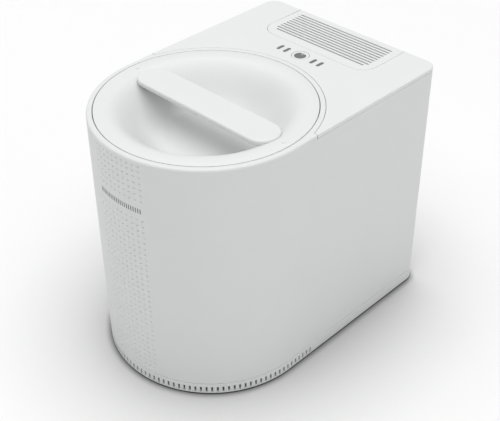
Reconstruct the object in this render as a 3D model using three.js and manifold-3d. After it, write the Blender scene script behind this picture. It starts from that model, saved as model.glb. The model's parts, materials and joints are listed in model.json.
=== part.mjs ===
// A countertop food-waste recycler: a heated, stirred bucket under a twist-off lid, with a carbon
// filter behind it. Millimetres, +Z up, the round nose faces -Y, and the origin is on the ground
// at the centre of the footprint.

import * as THREE from 'three';
import { mergeVertices } from 'three/addons/utils/BufferGeometryUtils.js';
import Module from 'manifold-3d';

// ---------------------------------------------------------------- driving dimensions

const WIDTH = 264;
const DEPTH = 380;
const HEIGHT = 320;
const WALL = 3;
const GAP = 0.3; // air between pieces that touch or are fastened together

const NOSE_RADIUS = WIDTH / 2;
const AXIS_Y = NOSE_RADIUS - DEPTH / 2; // lid, bucket and main shaft turn about this line
const BACK_Y = DEPTH / 2;
const REAR_CORNER_RADIUS = 15;
const SHOULDER_RADIUS = 3;

// base skirt
const BASE = { bottom: 1.5, floorTop: 3.5, top: 16.4, wall: 2.5 };
const SLOT = { width: 2.4, bottom: 3.8, top: 10.8 };
const NOSE_FACETS = 32; // flat wall facets around the nose, each with one air slot in the skirt
const SHELL_BOTTOM = BASE.top + GAP;

// rear deck and the collar that the lid drops into
const DECK = { thickness: 5, frontY: -22.5, edgeRadius: 1.5 };
const DECK_BOTTOM = HEIGHT - DECK.thickness;
const COLLAR = { bore: 125.3, radius: 131.2, shelfBore: 112.5, shelfBottom: 297, shelfTop: 300 };
const CAP_BOTTOM = 312; // underside of the front rim between the collar and the wall

// twist-off lid
const LID = { radius: 124.5, thickness: 3, rimBottom: 316.5 };
const BOWL = { flatRadius: 112, floorRadius: 52, depth: 42 };
const SKIRT = { inner: 114.5, outer: 117.5, bottom: 303 };
const LUG = { radius: 123.5, top: 306, spread: 14, angles: [90, 210, 330] };
const CATCH = { inner: 119.5, bottom: 308, top: 311 };
const LID_TURN = 20.8; // degrees from lift-off to locked
const HANDLE = { halfLength: 105.5, halfWidth: 20.8, bottom: 314.7, top: 321 };
const NUB = { radius: 2.1, distance: 115.5, height: 0.8 };
const PIVOT_RADIUS = 4.7;
const BOSS = { inner: 5.1, outer: 9, bottom: 269.1 };

// bucket and well
const INNER_PLATE = { radius: 100.5, bottom: 266.2, top: 268.7, pinTop: 274.4 };
const VENT = { count: 6, radius: 4, distance: 60 };
const GASKET = { inner: 88.5, outer: 95.5, bottom: 262.4 };
const MAGNET = { radius: 2.6, distance: 121, bottom: 313.6 };
const BUCKET = { bottom: 131.5, floorTop: 134, top: 262, radius: 86.5, rimRadius: 96, wall: 2.5, draft: 2 };
const LINER = { inner: 102, outer: 103.5, bottom: 120, floorTop: 123, flangeRadius: 118 };
const AGITATOR = { bottom: 143.5, reach: 78, hubRadius: 14, top: 172 };

// gear train: teeth, module and axis of each gear
const MAIN = { teeth: 40, module: 3, y: AXIS_Y };
const LAY_PINION = { teeth: 12, module: 3 };
const LAY_GEAR = { teeth: 30, module: 2.5 };
const MOTOR_PINION = { teeth: 12, module: 2.5 };
const LAY_Y = MAIN.y + (MAIN.module * (MAIN.teeth + LAY_PINION.teeth)) / 2;
const MOTOR_Y = LAY_Y + (LAY_GEAR.module * (LAY_GEAR.teeth + MOTOR_PINION.teeth)) / 2;
const STAGE_1 = { bottom: 20, top: 30 };
const STAGE_2 = { bottom: 34, top: 42 };
const LOWER_PLATE = { bottom: 12, top: 16 };
const UPPER_PLATE = { bottom: 48, top: 52 };
const PLATE = { halfWidth: 68, frontY: -98, backY: 106, columnRadius: 5, inset: 6 };
const MAIN_SHAFT_RADIUS = 6;
const PIN_RADIUS = 4;
const DOG = { bottom: 123.7, top: 131.2, radius: 11, slotTop: 129.7 };
const TANG = { halfLength: 5.6, halfWidth: 2, top: 129.3 };

// rear compartment
const COVER = { halfWidth: 83.5, frontY: 114, cornerRadius: 22 };
const COVER_SLOT = { count: 10, backY: 178.3, pitch: 5.5, width: 2.5, halfLength: 73, frontHalf: 69.5 };
const BAY = { halfWidth: 78, frontY: 119, backY: 186, bottom: 205, top: 314.7, wall: 2 };
const CASSETTE = { halfWidth: 72, frontY: 124, backY: 182, bottom: 210, top: 300, wall: 2 };
const DUCT = { halfWidth: 30, bottom: 273, top: 289, wall: 2 };
const BLOWER = { y: 150, radius: 35, bottom: 168, top: 204.7, wall: 3, inletRadius: 22 };
const FAN = { x: 60, z: 100, size: 60, depth: 15, boreRadius: 27.5 };
const PANEL = { halfWidth: 111.7, bottom: 17, top: 314.4 };
const PANEL_FRONT_Y = BACK_Y - WALL;
const FLANGE = { innerX: 100, webX: 112.4, outerX: 118, thickness: 3, bottom: 30, top: 300 };
const FAN_LOUVRE = { count: 7, pitch: 7, halfLength: 24, halfHeight: 1.6 };
const BLOWER_LOUVRE = { count: 3, pitch: 5, halfLength: 17, halfHeight: 1.3, z: 186 };
const SCREW = { x: 106, heights: [40, 290], headRadius: 3.7, shankRadius: 1.4, length: 12 };
const INLET = { x: -80, z: 45, width: 28, height: 20, depth: 24 };

// controls
const BUTTON = { y: 96, radius: 10.6, flangeRadius: 12.6, stemBottom: 308.3 };
const LIGHT = { y: 95.2, columns: [-31.4, -20.9, 20.9, 31.4], width: 4, length: 12, bottom: 306 };
const BOARD = { halfWidth: 45, frontY: 75.5, backY: 110, bottom: 300, top: 301.6 };
const POST = { radius: 2.5, xs: [-41, 41], ys: [79.5, 106] };

// facets on large, middling, small and very small round pieces
const FINE = 44;
const MEDIUM = 36;
const COARSE = 16;
const SMALL = 12;

// ---------------------------------------------------------------- materials

function plastic(color, roughness = 0.5) {
  return new THREE.MeshStandardMaterial({ color, roughness, metalness: 0 });
}

function metal(color, roughness = 0.35) {
  return new THREE.MeshStandardMaterial({ color, roughness, metalness: 1 });
}

// ---------------------------------------------------------------- outlines

const radians = THREE.MathUtils.degToRad;

function arc(x, y, radius, fromDegrees, toDegrees, segments) {
  const points = [];
  for (let i = 0; i <= segments; i += 1) {
    const angle = radians(fromDegrees + ((toDegrees - fromDegrees) * i) / segments);
    points.push(new THREE.Vector2(x + radius * Math.cos(angle), y + radius * Math.sin(angle)));
  }
  return points;
}

function circle(radius, segments = COARSE, x = 0, y = 0) {
  return arc(x, y, radius, 0, 360, segments).slice(0, -1);
}

/** Plan of the housing, drawn a distance inside its outer face. */
function bodyOutline(inset = 0) {
  const side = WIDTH / 2 - inset;
  const back = BACK_Y - inset;
  const corner = REAR_CORNER_RADIUS - inset;
  return [
    ...arc(0, AXIS_Y, side, 180, 360, NOSE_FACETS),
    ...arc(side - corner, back - corner, corner, 0, 90, 4),
    ...arc(corner - side, back - corner, corner, 90, 180, 4),
  ];
}

/** A slot shape with round ends, its length along X, or along Y if it is taller than wide. */
function stadium(halfLength, halfWidth, segments = 12) {
  const radius = Math.min(halfLength, halfWidth);
  const alongX = halfLength >= halfWidth;
  const reach = Math.abs(halfLength - halfWidth);
  const start = alongX ? -90 : 0;
  const [x, y] = alongX ? [reach, 0] : [0, reach];
  return [
    ...arc(x, y, radius, start, start + 180, segments),
    ...arc(-x, -y, radius, start + 180, start + 360, segments),
  ];
}

/** Plan of the filter cover: square at the back, rounded at the front. */
function coverOutline(outset = 0) {
  const side = COVER.halfWidth + outset;
  const front = COVER.frontY - outset;
  const radius = COVER.cornerRadius;
  return [
    ...arc(radius - side, front + radius, radius, 180, 270, 5),
    ...arc(side - radius, front + radius, radius, 270, 360, 5),
    new THREE.Vector2(side, BACK_Y + outset),
    new THREE.Vector2(-side, BACK_Y + outset),
  ];
}

/** A straight-sided gear with slim teeth, one tooth (or one gap) pointing along +Y. */
function gearOutline({ teeth, module }, toothUp = true) {
  const pitchRadius = (teeth * module) / 2;
  const rootRadius = pitchRadius - 1.25 * module;
  const tipRadius = pitchRadius + 0.9 * module;
  const pitch = 360 / teeth;
  const start = toothUp ? 90 : 90 + pitch / 2;
  const flank = [[rootRadius, -0.3], [tipRadius, -0.09], [tipRadius, 0.09], [rootRadius, 0.3]];
  const points = [];
  for (let tooth = 0; tooth < teeth; tooth += 1) {
    for (const [radius, share] of flank) {
      const angle = radians(start + (tooth + share) * pitch);
      points.push(new THREE.Vector2(radius * Math.cos(angle), radius * Math.sin(angle)));
    }
  }
  return points;
}

// ---------------------------------------------------------------- closed geometries

function prism(points, bottom, top) {
  const settings = { depth: top - bottom, bevelEnabled: false };
  return new THREE.ExtrudeGeometry(new THREE.Shape(points), settings).translate(0, 0, bottom);
}

/** A prism of the housing's plan whose top and bottom edges are rounded. */
function roundedBody(bottom, top, radius) {
  const geometry = new THREE.ExtrudeGeometry(new THREE.Shape(bodyOutline()), {
    depth: top - bottom - 2 * radius,
    bevelThickness: radius,
    bevelSize: radius,
    bevelOffset: -radius,
    bevelSegments: 3,
  });
  return geometry.translate(0, 0, bottom + radius);
}

/** A turned piece from [radius, height] pairs, either closed on itself or ending on the axis. */
function turned(profile, segments = COARSE) {
  const points = profile.map(([radius, height]) => new THREE.Vector2(radius, height));
  const endsOnAxis = profile[0][0] === 0 && profile.at(-1)[0] === 0;
  if (!endsOnAxis) points.push(points[0].clone());
  return new THREE.LatheGeometry(points, segments).rotateX(Math.PI / 2);
}

function disc(radius, bottom, top, segments = COARSE) {
  return turned([[0, bottom], [radius, bottom], [radius, top], [0, top]], segments);
}

function ring(inner, outer, bottom, top, segments = COARSE) {
  return turned([[inner, bottom], [outer, bottom], [outer, top], [inner, top]], segments);
}

function block(x0, x1, y0, y1, z0, z1) {
  const geometry = new THREE.BoxGeometry(Math.abs(x1 - x0), Math.abs(y1 - y0), Math.abs(z1 - z0));
  return geometry.translate((x0 + x1) / 2, (y0 + y1) / 2, (z0 + z1) / 2);
}

/** Part of a ring, centred on an angle. */
function sector(inner, outer, middle, spread, bottom, top) {
  const from = middle - spread / 2;
  const to = middle + spread / 2;
  return prism([...arc(0, 0, outer, from, to, 4), ...arc(0, 0, inner, to, from, 4)], bottom, top);
}

// ---------------------------------------------------------------- joining and cutting

const WELD_DISTANCE = 1e-4;
const wasm = await Module();
wasm.setup();

function signedVolume(positions, triangles) {
  const corners = [new THREE.Vector3(), new THREE.Vector3(), new THREE.Vector3()];
  let volume = 0;
  for (let i = 0; i < triangles.length; i += 3) {
    corners.forEach((corner, j) => corner.fromArray(positions, 3 * triangles[i + j]));
    volume += corners[0].dot(corners[1].clone().cross(corners[2])) / 6;
  }
  return volume;
}

/** Welds a closed three.js geometry and hands it over as a solid. */
function solid(shape) {
  if (!shape.isBufferGeometry) return shape;
  shape.deleteAttribute('normal');
  shape.deleteAttribute('uv');
  const welded = mergeVertices(shape, WELD_DISTANCE);
  const vertProperties = new Float32Array(welded.getAttribute('position').array);
  const corners = welded.index.array;
  let triVerts = [];
  for (let i = 0; i < corners.length; i += 3) {
    const [a, b, c] = corners.slice(i, i + 3);
    if (a !== b && b !== c && c !== a) triVerts.push(a, b, c);
  }
  if (signedVolume(vertProperties, triVerts) < 0) triVerts = triVerts.reverse();
  triVerts = new Uint32Array(triVerts);
  return new wasm.Manifold(new wasm.Mesh({ numProp: 3, vertProperties, triVerts }));
}

function join(first, ...others) {
  return others.reduce((sum, shape) => sum.add(solid(shape)), solid(first));
}

function cut(first, ...others) {
  return others.reduce((rest, shape) => rest.subtract(solid(shape)), solid(first));
}

function common(first, ...others) {
  return others.reduce((rest, shape) => rest.intersect(solid(shape)), solid(first));
}

/** A named mesh of one closed shape. */
function piece(name, shape, material) {
  const { vertProperties, triVerts } = solid(shape).getMesh();
  const geometry = new THREE.BufferGeometry();
  geometry.setAttribute('position', new THREE.BufferAttribute(new Float32Array(vertProperties), 3));
  geometry.setIndex(new THREE.BufferAttribute(new Uint32Array(triVerts), 1));
  const flat = geometry.toNonIndexed();
  flat.computeVertexNormals();
  const mesh = new THREE.Mesh(flat, material);
  mesh.name = name;
  return mesh;
}

function groupAt(x, y, z, ...children) {
  const group = new THREE.Group();
  group.position.set(x, y, z);
  group.add(...children);
  return group;
}

// ---------------------------------------------------------------- housing

function outerShell() {
  const envelope = solid(roundedBody(0, HEIGHT, SHOULDER_RADIUS));
  const aboveBase = block(-WIDTH, WIDTH, -DEPTH, DEPTH, SHELL_BOTTOM, HEIGHT + 1);
  const inside = prism(bodyOutline(WALL), 0, HEIGHT + 1);
  const deckSpace = block(-WIDTH, WIDTH, DECK.frontY, DEPTH, DECK_BOTTOM - GAP, HEIGHT + 1);
  const opening = PANEL.halfWidth + GAP;
  const backOpening = block(-opening, opening, BACK_Y - 10, BACK_Y + 1, 0, HEIGHT);
  const walls = cut(common(envelope, aboveBase), inside, deckSpace, backOpening);
  const frontRim = common(envelope, block(-WIDTH, WIDTH, -DEPTH, DECK.frontY, CAP_BOTTOM, HEIGHT + 1));
  const collarDisc = disc(COLLAR.radius, COLLAR.shelfBottom, HEIGHT, FINE).translate(0, AXIS_Y, 0);
  const collar = common(envelope, collarDisc);
  const lidBore = disc(COLLAR.bore, COLLAR.shelfTop, HEIGHT + 1, FINE).translate(0, AXIS_Y, 0);
  const shelfBore = disc(COLLAR.shelfBore, 0, HEIGHT, FINE).translate(0, AXIS_Y, 0);
  const catches = LUG.angles.map((angle) => {
    const middle = angle + LID_TURN;
    const shape = sector(CATCH.inner, COLLAR.bore + 1, middle, LUG.spread, CATCH.bottom, CATCH.top);
    return shape.translate(0, AXIS_Y, 0);
  });
  const bored = cut(join(walls, frontRim, collar), lidBore, shelfBore);
  return cut(join(bored, ...catches, ...screwFlanges()), ...screwHoles());
}

/** Upright strips behind the edges of the rear panel, which its screws bite into. */
function screwFlanges() {
  const { innerX, webX, outerX, thickness, bottom, top } = FLANGE;
  const front = PANEL_FRONT_Y - GAP - thickness;
  const strips = [];
  for (const side of [-1, 1]) {
    strips.push(block(side * innerX, side * outerX, front, PANEL_FRONT_Y - GAP, bottom, top));
    strips.push(block(side * webX, side * outerX, front, PANEL_FRONT_Y + 0.5, bottom, top));
  }
  return strips;
}

function screwPlaces() {
  return [-1, 1].flatMap((side) => SCREW.heights.map((height) => [side * SCREW.x, height]));
}

function screwHoles() {
  return screwPlaces().map(([x, z]) => {
    const hole = new THREE.CylinderGeometry(SCREW.shankRadius + GAP, SCREW.shankRadius + GAP, 30, 8);
    return hole.translate(x, BACK_Y, z);
  });
}

function rearPanelScrew() {
  const slot = block(-0.5, 0.5, -2.6, 2.6, -0.8, 1);
  const headDepth = 1.6;
  const profile = [
    [0, 0],
    [SCREW.headRadius, 0],
    [SCREW.headRadius, -headDepth],
    [SCREW.shankRadius, -headDepth],
    [SCREW.shankRadius, -SCREW.length],
    [0, -SCREW.length],
  ];
  return cut(turned(profile, SMALL), slot);
}

function topDeck() {
  const envelope = roundedBody(0, HEIGHT, DECK.edgeRadius);
  const slab = common(envelope, block(-WIDTH, WIDTH, DECK.frontY + GAP, DEPTH, DECK_BOTTOM, HEIGHT + 1));
  const collarHole = disc(COLLAR.radius + 0.4, 0, HEIGHT + 1, FINE).translate(0, AXIS_Y, 0);
  const coverHole = prism(coverOutline(GAP), DECK_BOTTOM - 1, HEIGHT + 1);
  const buttonHole = disc(BUTTON.radius + 0.4, 0, HEIGHT + 1).translate(0, BUTTON.y, 0);
  const lightOutline = stadium(LIGHT.width / 2 + GAP, LIGHT.length / 2 + GAP, 5);
  const lightHoles = LIGHT.columns.map((x) =>
    prism(lightOutline, 0, HEIGHT + 1).translate(x, LIGHT.y, 0));
  const posts = POST.xs.flatMap((x) => POST.ys.map((y) => {
    const post = disc(POST.radius, BOARD.top + GAP, DECK_BOTTOM + 1, 8);
    return post.translate(x, y, 0);
  }));
  return join(cut(slab, collarHole, coverHole, buttonHole, ...lightHoles), ...posts);
}

function rearPanel() {
  const sheet = block(-PANEL.halfWidth, PANEL.halfWidth, PANEL_FRONT_Y, BACK_Y, PANEL.bottom, PANEL.top);
  const openings = screwHoles();
  for (const [x, z] of screwPlaces()) {
    const seat = new THREE.CylinderGeometry(SCREW.headRadius + 0.4, SCREW.headRadius + 0.4, 4, SMALL);
    openings.push(seat.translate(x, BACK_Y + 0.1, z));
  }
  openings.push(...louvres(FAN_LOUVRE, FAN.x, FAN.z), ...louvres(BLOWER_LOUVRE, 0, BLOWER_LOUVRE.z));
  openings.push(panelHole(INLET.x, INLET.z, INLET.width / 2 + GAP, INLET.height / 2 + GAP));
  return cut(sheet, ...openings);
}

function panelHole(x, z, halfLength, halfHeight) {
  const hole = block(-halfLength, halfLength, PANEL_FRONT_Y - 1, BACK_Y + 1, -halfHeight, halfHeight);
  return hole.translate(x, 0, z);
}

/** A stack of level slots about a middle point. */
function louvres({ count, pitch, halfLength, halfHeight }, x, middle) {
  const holes = [];
  for (let row = 0; row < count; row += 1) {
    const z = middle + (row - (count - 1) / 2) * pitch;
    holes.push(panelHole(x, z, halfLength, halfHeight));
  }
  return holes;
}

const FOOT = { padRadius: 10, neck: 3.5, plugRadius: 5, top: 6.2 };
const FOOT_PLACES = [[-78, -128], [78, -128], [-100, 160], [100, 160]];
const PLATE_CORNERS = [PLATE.frontY + PLATE.inset, PLATE.backY - PLATE.inset].flatMap((y) =>
  [-1, 1].map((side) => [side * (PLATE.halfWidth - PLATE.inset), y]));
const POWER_BOARD = { x0: -120, x1: -74, y0: 60, y1: 158, bottom: 24, top: 25.6, inset: 5 };

function powerBoardCorners() {
  const { x0, x1, y0, y1, inset } = POWER_BOARD;
  return [x0 + inset, x1 - inset].flatMap((x) => [y0 + inset, y1 - inset].map((y) => [x, y]));
}

/** Air slots round the skirt: one in each facet of the nose, and the same pitch along the sides. */
function skirtSlots() {
  const slots = [];
  const step = 180 / NOSE_FACETS;
  const box = () => block(-5, 5, -SLOT.width / 2, SLOT.width / 2, SLOT.bottom, SLOT.top);
  for (let i = 0; i < NOSE_FACETS; i += 1) {
    const angle = radians(180 + (i + 0.5) * step);
    slots.push(box().translate(NOSE_RADIUS, 0, 0).rotateZ(angle).translate(0, AXIS_Y, 0));
  }
  const pitch = NOSE_RADIUS * radians(step);
  const straight = BACK_Y - REAR_CORNER_RADIUS - AXIS_Y;
  for (let y = pitch / 2; y < straight - SLOT.width; y += pitch) {
    for (const side of [-1, 1]) slots.push(box().translate(side * NOSE_RADIUS, AXIS_Y + y, 0));
  }
  return slots;
}

function basePan() {
  const outside = prism(bodyOutline(), BASE.bottom, BASE.top);
  const inside = prism(bodyOutline(BASE.wall), BASE.floorTop, BASE.top + 1);
  const boss = (radius, top, [x, y]) =>
    disc(radius, BASE.floorTop - 1, top - GAP, SMALL).translate(x, y, 0);
  const bosses = [
    ...PLATE_CORNERS.map((place) => boss(6, LOWER_PLATE.bottom, place)),
    ...powerBoardCorners().map((place) => boss(4, POWER_BOARD.bottom, place)),
  ];
  const footHoles = FOOT_PLACES.map(([x, y]) => disc(FOOT.neck + 0.4, 0, 5, SMALL).translate(x, y, 0));
  return cut(join(cut(outside, inside), ...bosses), ...footHoles, ...skirtSlots());
}

function rubberFoot() {
  const { padRadius, neck, plugRadius, top } = FOOT;
  const padTop = BASE.bottom - GAP;
  const plugBottom = BASE.floorTop + GAP;
  const profile = [
    [0, 0],
    [padRadius - 1, 0],
    [padRadius, padTop],
    [neck, padTop],
    [neck, plugBottom],
    [plugRadius, plugBottom],
    [plugRadius - 1, top],
    [0, top],
  ];
  return turned(profile, SMALL);
}

function housing() {
  const shellWhite = () => plastic(0xdfe1e0, 0.45);
  const group = groupAt(0, 0, 0,
    piece('outer_shell', outerShell(), shellWhite()),
    piece('top_deck', topDeck(), plastic(0xeceeed, 0.42)),
    piece('rear_panel', rearPanel(), plastic(0xd6d8d8, 0.5)),
    piece('base_pan', basePan(), plastic(0xd6d8d8, 0.5)));
  screwPlaces().forEach(([x, z], i) => {
    const screw = piece(`rear_panel_screw_${i + 1}`, rearPanelScrew(), metal(0x9a9da0));
    screw.position.set(x, BACK_Y, z);
    screw.rotation.x = -Math.PI / 2;
    group.add(screw);
  });
  FOOT_PLACES.forEach(([x, y], i) => {
    const foot = piece(`rubber_foot_${i + 1}`, rubberFoot(), plastic(0x35373a, 0.9));
    foot.position.set(x, y, 0);
    group.add(foot);
  });
  return group;
}

// ---------------------------------------------------------------- lid

/** Height of the lid's upper face: a flat rim that rolls down into a bowl. */
function lidHeight(radius) {
  const { flatRadius, floorRadius, depth } = BOWL;
  const share = THREE.MathUtils.clamp((radius - floorRadius) / (flatRadius - floorRadius), 0, 1);
  return HEIGHT - (depth / 2) * (1 + Math.cos(Math.PI * share));
}

/** The bowl's slope from the centre out, raised or lowered by an offset. */
function bowlCurve(offset) {
  const steps = 6;
  const points = [];
  for (let i = 0; i <= steps; i += 1) {
    const radius = BOWL.floorRadius + ((BOWL.flatRadius - BOWL.floorRadius) * i) / steps;
    points.push([radius, lidHeight(radius) + offset]);
  }
  return points;
}

function lid() {
  const underside = [[0, lidHeight(0) - LID.thickness], ...bowlCurve(-LID.thickness)];
  const edge = [
    [SKIRT.inner, LID.rimBottom],
    [SKIRT.inner, SKIRT.bottom],
    [SKIRT.outer, SKIRT.bottom],
    [SKIRT.outer, LID.rimBottom],
    [LID.radius, LID.rimBottom],
    [LID.radius, HEIGHT - 1],
    [LID.radius - 1, HEIGHT],
  ];
  const face = [...bowlCurve(0).reverse(), [0, lidHeight(0)]];
  const bowl = turned([...underside, ...edge, ...face], FINE);
  const boss = ring(BOSS.inner, BOSS.outer, BOSS.bottom, lidHeight(0) - 1);
  const lugs = LUG.angles.map((angle) =>
    sector(SKIRT.outer - 1, LUG.radius, angle, LUG.spread, SKIRT.bottom, LUG.top));
  const nubs = [-1, 1].map((side) =>
    disc(NUB.radius, HEIGHT - 1, HEIGHT + NUB.height, 8).translate(side * NUB.distance, 0, 0));
  return join(bowl, boss, ...lugs, ...nubs);
}

/** A flat bridge across the bowl, both ends seated on the bowl's upper slope. */
function lidHandle() {
  const bar = prism(stadium(HANDLE.halfLength, HANDLE.halfWidth), HANDLE.bottom, HANDLE.top);
  const seat = [
    [0, 0],
    [LID.radius, 0],
    [LID.radius, HEIGHT + GAP],
    ...bowlCurve(GAP).reverse(),
    [0, lidHeight(0) + GAP],
  ];
  return cut(bar, turned(seat, FINE));
}

function innerPlate() {
  const { radius, bottom, top, pinTop } = INNER_PLATE;
  const profile = [
    [0, bottom],
    [radius, bottom],
    [radius, top],
    [PIVOT_RADIUS, top],
    [PIVOT_RADIUS, pinTop],
    [0, pinTop],
  ];
  const vents = [];
  for (let i = 0; i < VENT.count; i += 1) {
    const vent = disc(VENT.radius, bottom - 1, top + 1, 8).translate(VENT.distance, 0, 0);
    vents.push(vent.rotateZ(radians((i * 360) / VENT.count)));
  }
  return cut(turned(profile, FINE), ...vents);
}

function lidAssembly() {
  const magnet = disc(MAGNET.radius, MAGNET.bottom, LID.rimBottom - GAP, SMALL)
    .translate(0, MAGNET.distance, 0)
    .rotateZ(radians(-LID_TURN));
  const gasket = ring(GASKET.inner, GASKET.outer, GASKET.bottom, INNER_PLATE.bottom - GAP, MEDIUM);
  return groupAt(0, AXIS_Y, 0,
    piece('lid', lid(), plastic(0xf0f2f1, 0.4)),
    piece('lid_handle', lidHandle(), plastic(0xf0f2f1, 0.4)),
    piece('lid_magnet', magnet, metal(0xb9bcc0, 0.3)),
    piece('lid_inner_plate', innerPlate(), plastic(0xc9ccce, 0.5)),
    piece('lid_gasket', gasket, plastic(0x6c6f73, 0.8)));
}

// ---------------------------------------------------------------- bucket and well

function bucket() {
  const { bottom, floorTop, top, radius, rimRadius, wall, draft } = BUCKET;
  const rimBottom = top - 4;
  const profile = [
    [8.2, bottom],
    [radius, bottom],
    [radius + draft, rimBottom],
    [rimRadius, rimBottom],
    [rimRadius, top],
    [radius + draft - wall, top],
    [radius - wall, floorTop],
    [11.5, floorTop],
    [11.5, 142],
    [8.2, 142],
  ];
  const ribs = [30, 150, 270].map((angle) => block(80, 85.3, -2, 2, 140, 205).rotateZ(radians(angle)));
  const ears = [0, 180].map((angle) => sector(rimRadius - 1, 100.5, angle, 30, rimBottom, top));
  return join(turned(profile, MEDIUM), ...ribs, ...ears);
}

function agitator() {
  const { bottom, reach, hubRadius, top } = AGITATOR;
  const hub = turned([
    [0, top],
    [hubRadius - 5, top],
    [hubRadius, top - 4],
    [hubRadius, bottom],
    [5.4, bottom],
    [5.4, 164.6],
    [0, 164.6],
  ]);
  const arms = [];
  for (const angle of [0, 120, 240]) {
    arms.push(block(10, reach, -6, 6, bottom, bottom + 7).rotateZ(radians(angle)));
    arms.push(block(30, reach, -2, 2, BUCKET.floorTop + 2.5, bottom + 1).rotateZ(radians(angle)));
  }
  for (const angle of [60, 240]) arms.push(block(10, 58, -5, 5, 158, 164).rotateZ(radians(angle)));
  return join(hub, ...arms);
}

/** The bucket's short shaft, with a slotted dog that drops over the main shaft's tang. */
function agitatorShaft() {
  const halfLength = TANG.halfLength + 1;
  const halfWidth = TANG.halfWidth + 0.5;
  const slot = block(-halfLength, halfLength, -halfWidth, halfWidth, 0, DOG.slotTop);
  return join(cut(disc(DOG.radius, DOG.bottom, DOG.top), slot), disc(5, DOG.slotTop, 164));
}

function wellLiner() {
  const { inner, outer, bottom, floorTop, flangeRadius } = LINER;
  const flangeTop = COLLAR.shelfBottom - GAP;
  const profile = [
    [10, bottom],
    [outer, bottom],
    [outer, flangeTop - 3],
    [flangeRadius, flangeTop - 3],
    [flangeRadius, flangeTop],
    [inner, flangeTop],
    [inner, floorTop],
    [10, floorTop],
  ];
  const [w, d] = [DUCT.halfWidth - DUCT.wall, DUCT.wall];
  return cut(turned(profile, MEDIUM), block(-w, w, 80, 120, DUCT.bottom + d, DUCT.top - d));
}

function wellAssembly() {
  const probe = join(disc(4, 112, LINER.bottom - GAP, SMALL), disc(2, 104, 113, 8));
  const thermistor = piece('thermistor', probe, metal(0xb08d57));
  thermistor.position.set(40, 40, 0);
  const plateTop = BUCKET.bottom - 0.5;
  return groupAt(0, AXIS_Y, 0,
    piece('bucket', bucket(), metal(0xb9bcbf)),
    piece('bucket_bush', ring(5.4, 7.9, BUCKET.bottom + 0.5, 141.5), metal(0xb08d57)),
    piece('agitator', agitator(), metal(0xa9acaf)),
    piece('agitator_shaft', agitatorShaft(), metal(0x9a9da0)),
    piece('well_liner', wellLiner(), metal(0xb4b7ba)),
    piece('heater_plate', ring(14, 96, LINER.floorTop + GAP, plateTop, MEDIUM), metal(0x8f9295, 0.5)),
    piece('insulation_sleeve', ring(104.5, 111, 124, 270, MEDIUM), plastic(0xe8e2cf, 0.95)),
    piece('shaft_seal', ring(6.4, 9.6, LINER.bottom - 0.5, LINER.floorTop), plastic(0x2c2d2f, 0.85)),
    thermistor);
}

// ---------------------------------------------------------------- drive

function gearboxPlate({ bottom, top }, motorHoleRadius) {
  const { halfWidth, frontY, backY } = PLATE;
  const holes = [
    disc(9.8, 0, 100).translate(0, MAIN.y, 0),
    disc(PIN_RADIUS + GAP, 0, 100, SMALL).translate(0, LAY_Y, 0),
    disc(motorHoleRadius, 0, 100).translate(0, MOTOR_Y, 0),
  ];
  return cut(block(-halfWidth, halfWidth, frontY, backY, bottom, top), ...holes);
}

function lowerPlate() {
  const columns = PLATE_CORNERS.map(([x, y]) =>
    disc(PLATE.columnRadius, LOWER_PLATE.top - 1, UPPER_PLATE.bottom - GAP, 8).translate(x, y, 0));
  return join(gearboxPlate(LOWER_PLATE, 6), ...columns);
}

function flangedBush(bottom, seat) {
  const bore = MAIN_SHAFT_RADIUS + 0.4;
  const top = seat + 2;
  return turned([[bore, bottom], [9.5, bottom], [9.5, seat], [12, seat], [12, top], [bore, top]]);
}

function gear(size, { bottom, top }, boreRadius, toothUp) {
  return cut(prism(gearOutline(size, toothUp), bottom, top), disc(boreRadius, 0, 100));
}

function mainShaft() {
  const tang = block(-TANG.halfLength, TANG.halfLength, -TANG.halfWidth, TANG.halfWidth, 110, TANG.top);
  return join(disc(MAIN_SHAFT_RADIUS, 9, LINER.floorTop + GAP), tang);
}

/** The motor drives the large gear, and the pinion below it drives the main gear. */
function compoundGear() {
  const pinion = prism(gearOutline(LAY_PINION, false), STAGE_1.bottom, STAGE_1.top);
  const large = prism(gearOutline(LAY_GEAR), STAGE_2.bottom, STAGE_2.top);
  const hub = disc(11, STAGE_1.top - 1, STAGE_2.bottom + 1);
  return cut(join(pinion, large, hub), disc(PIN_RADIUS + 0.4, 0, 100));
}

const MOTOR = { radius: 38, wall: 4, bottom: UPPER_PLATE.top + GAP, top: 112, shaftRadius: 4 };

function motorHousing() {
  const { radius, wall, bottom, top, shaftRadius } = MOTOR;
  const inner = radius - wall;
  const profile = [
    [0, top],
    [radius - 4, top],
    [radius, top - 4],
    [radius, bottom],
    [shaftRadius + 0.6, bottom],
    [shaftRadius + 0.6, bottom + wall],
    [inner, bottom + wall],
    [inner, top - wall - 3],
    [inner - 2, top - wall],
    [0, top - wall],
  ];
  return turned(profile, 28);
}

function motorArmature() {
  const { shaftRadius } = MOTOR;
  const profile = [
    [0, 31],
    [shaftRadius, 31],
    [shaftRadius, 62],
    [24, 62],
    [24, 100],
    [shaftRadius, 100],
    [shaftRadius, 106],
    [0, 106],
  ];
  return turned(profile);
}

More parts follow.
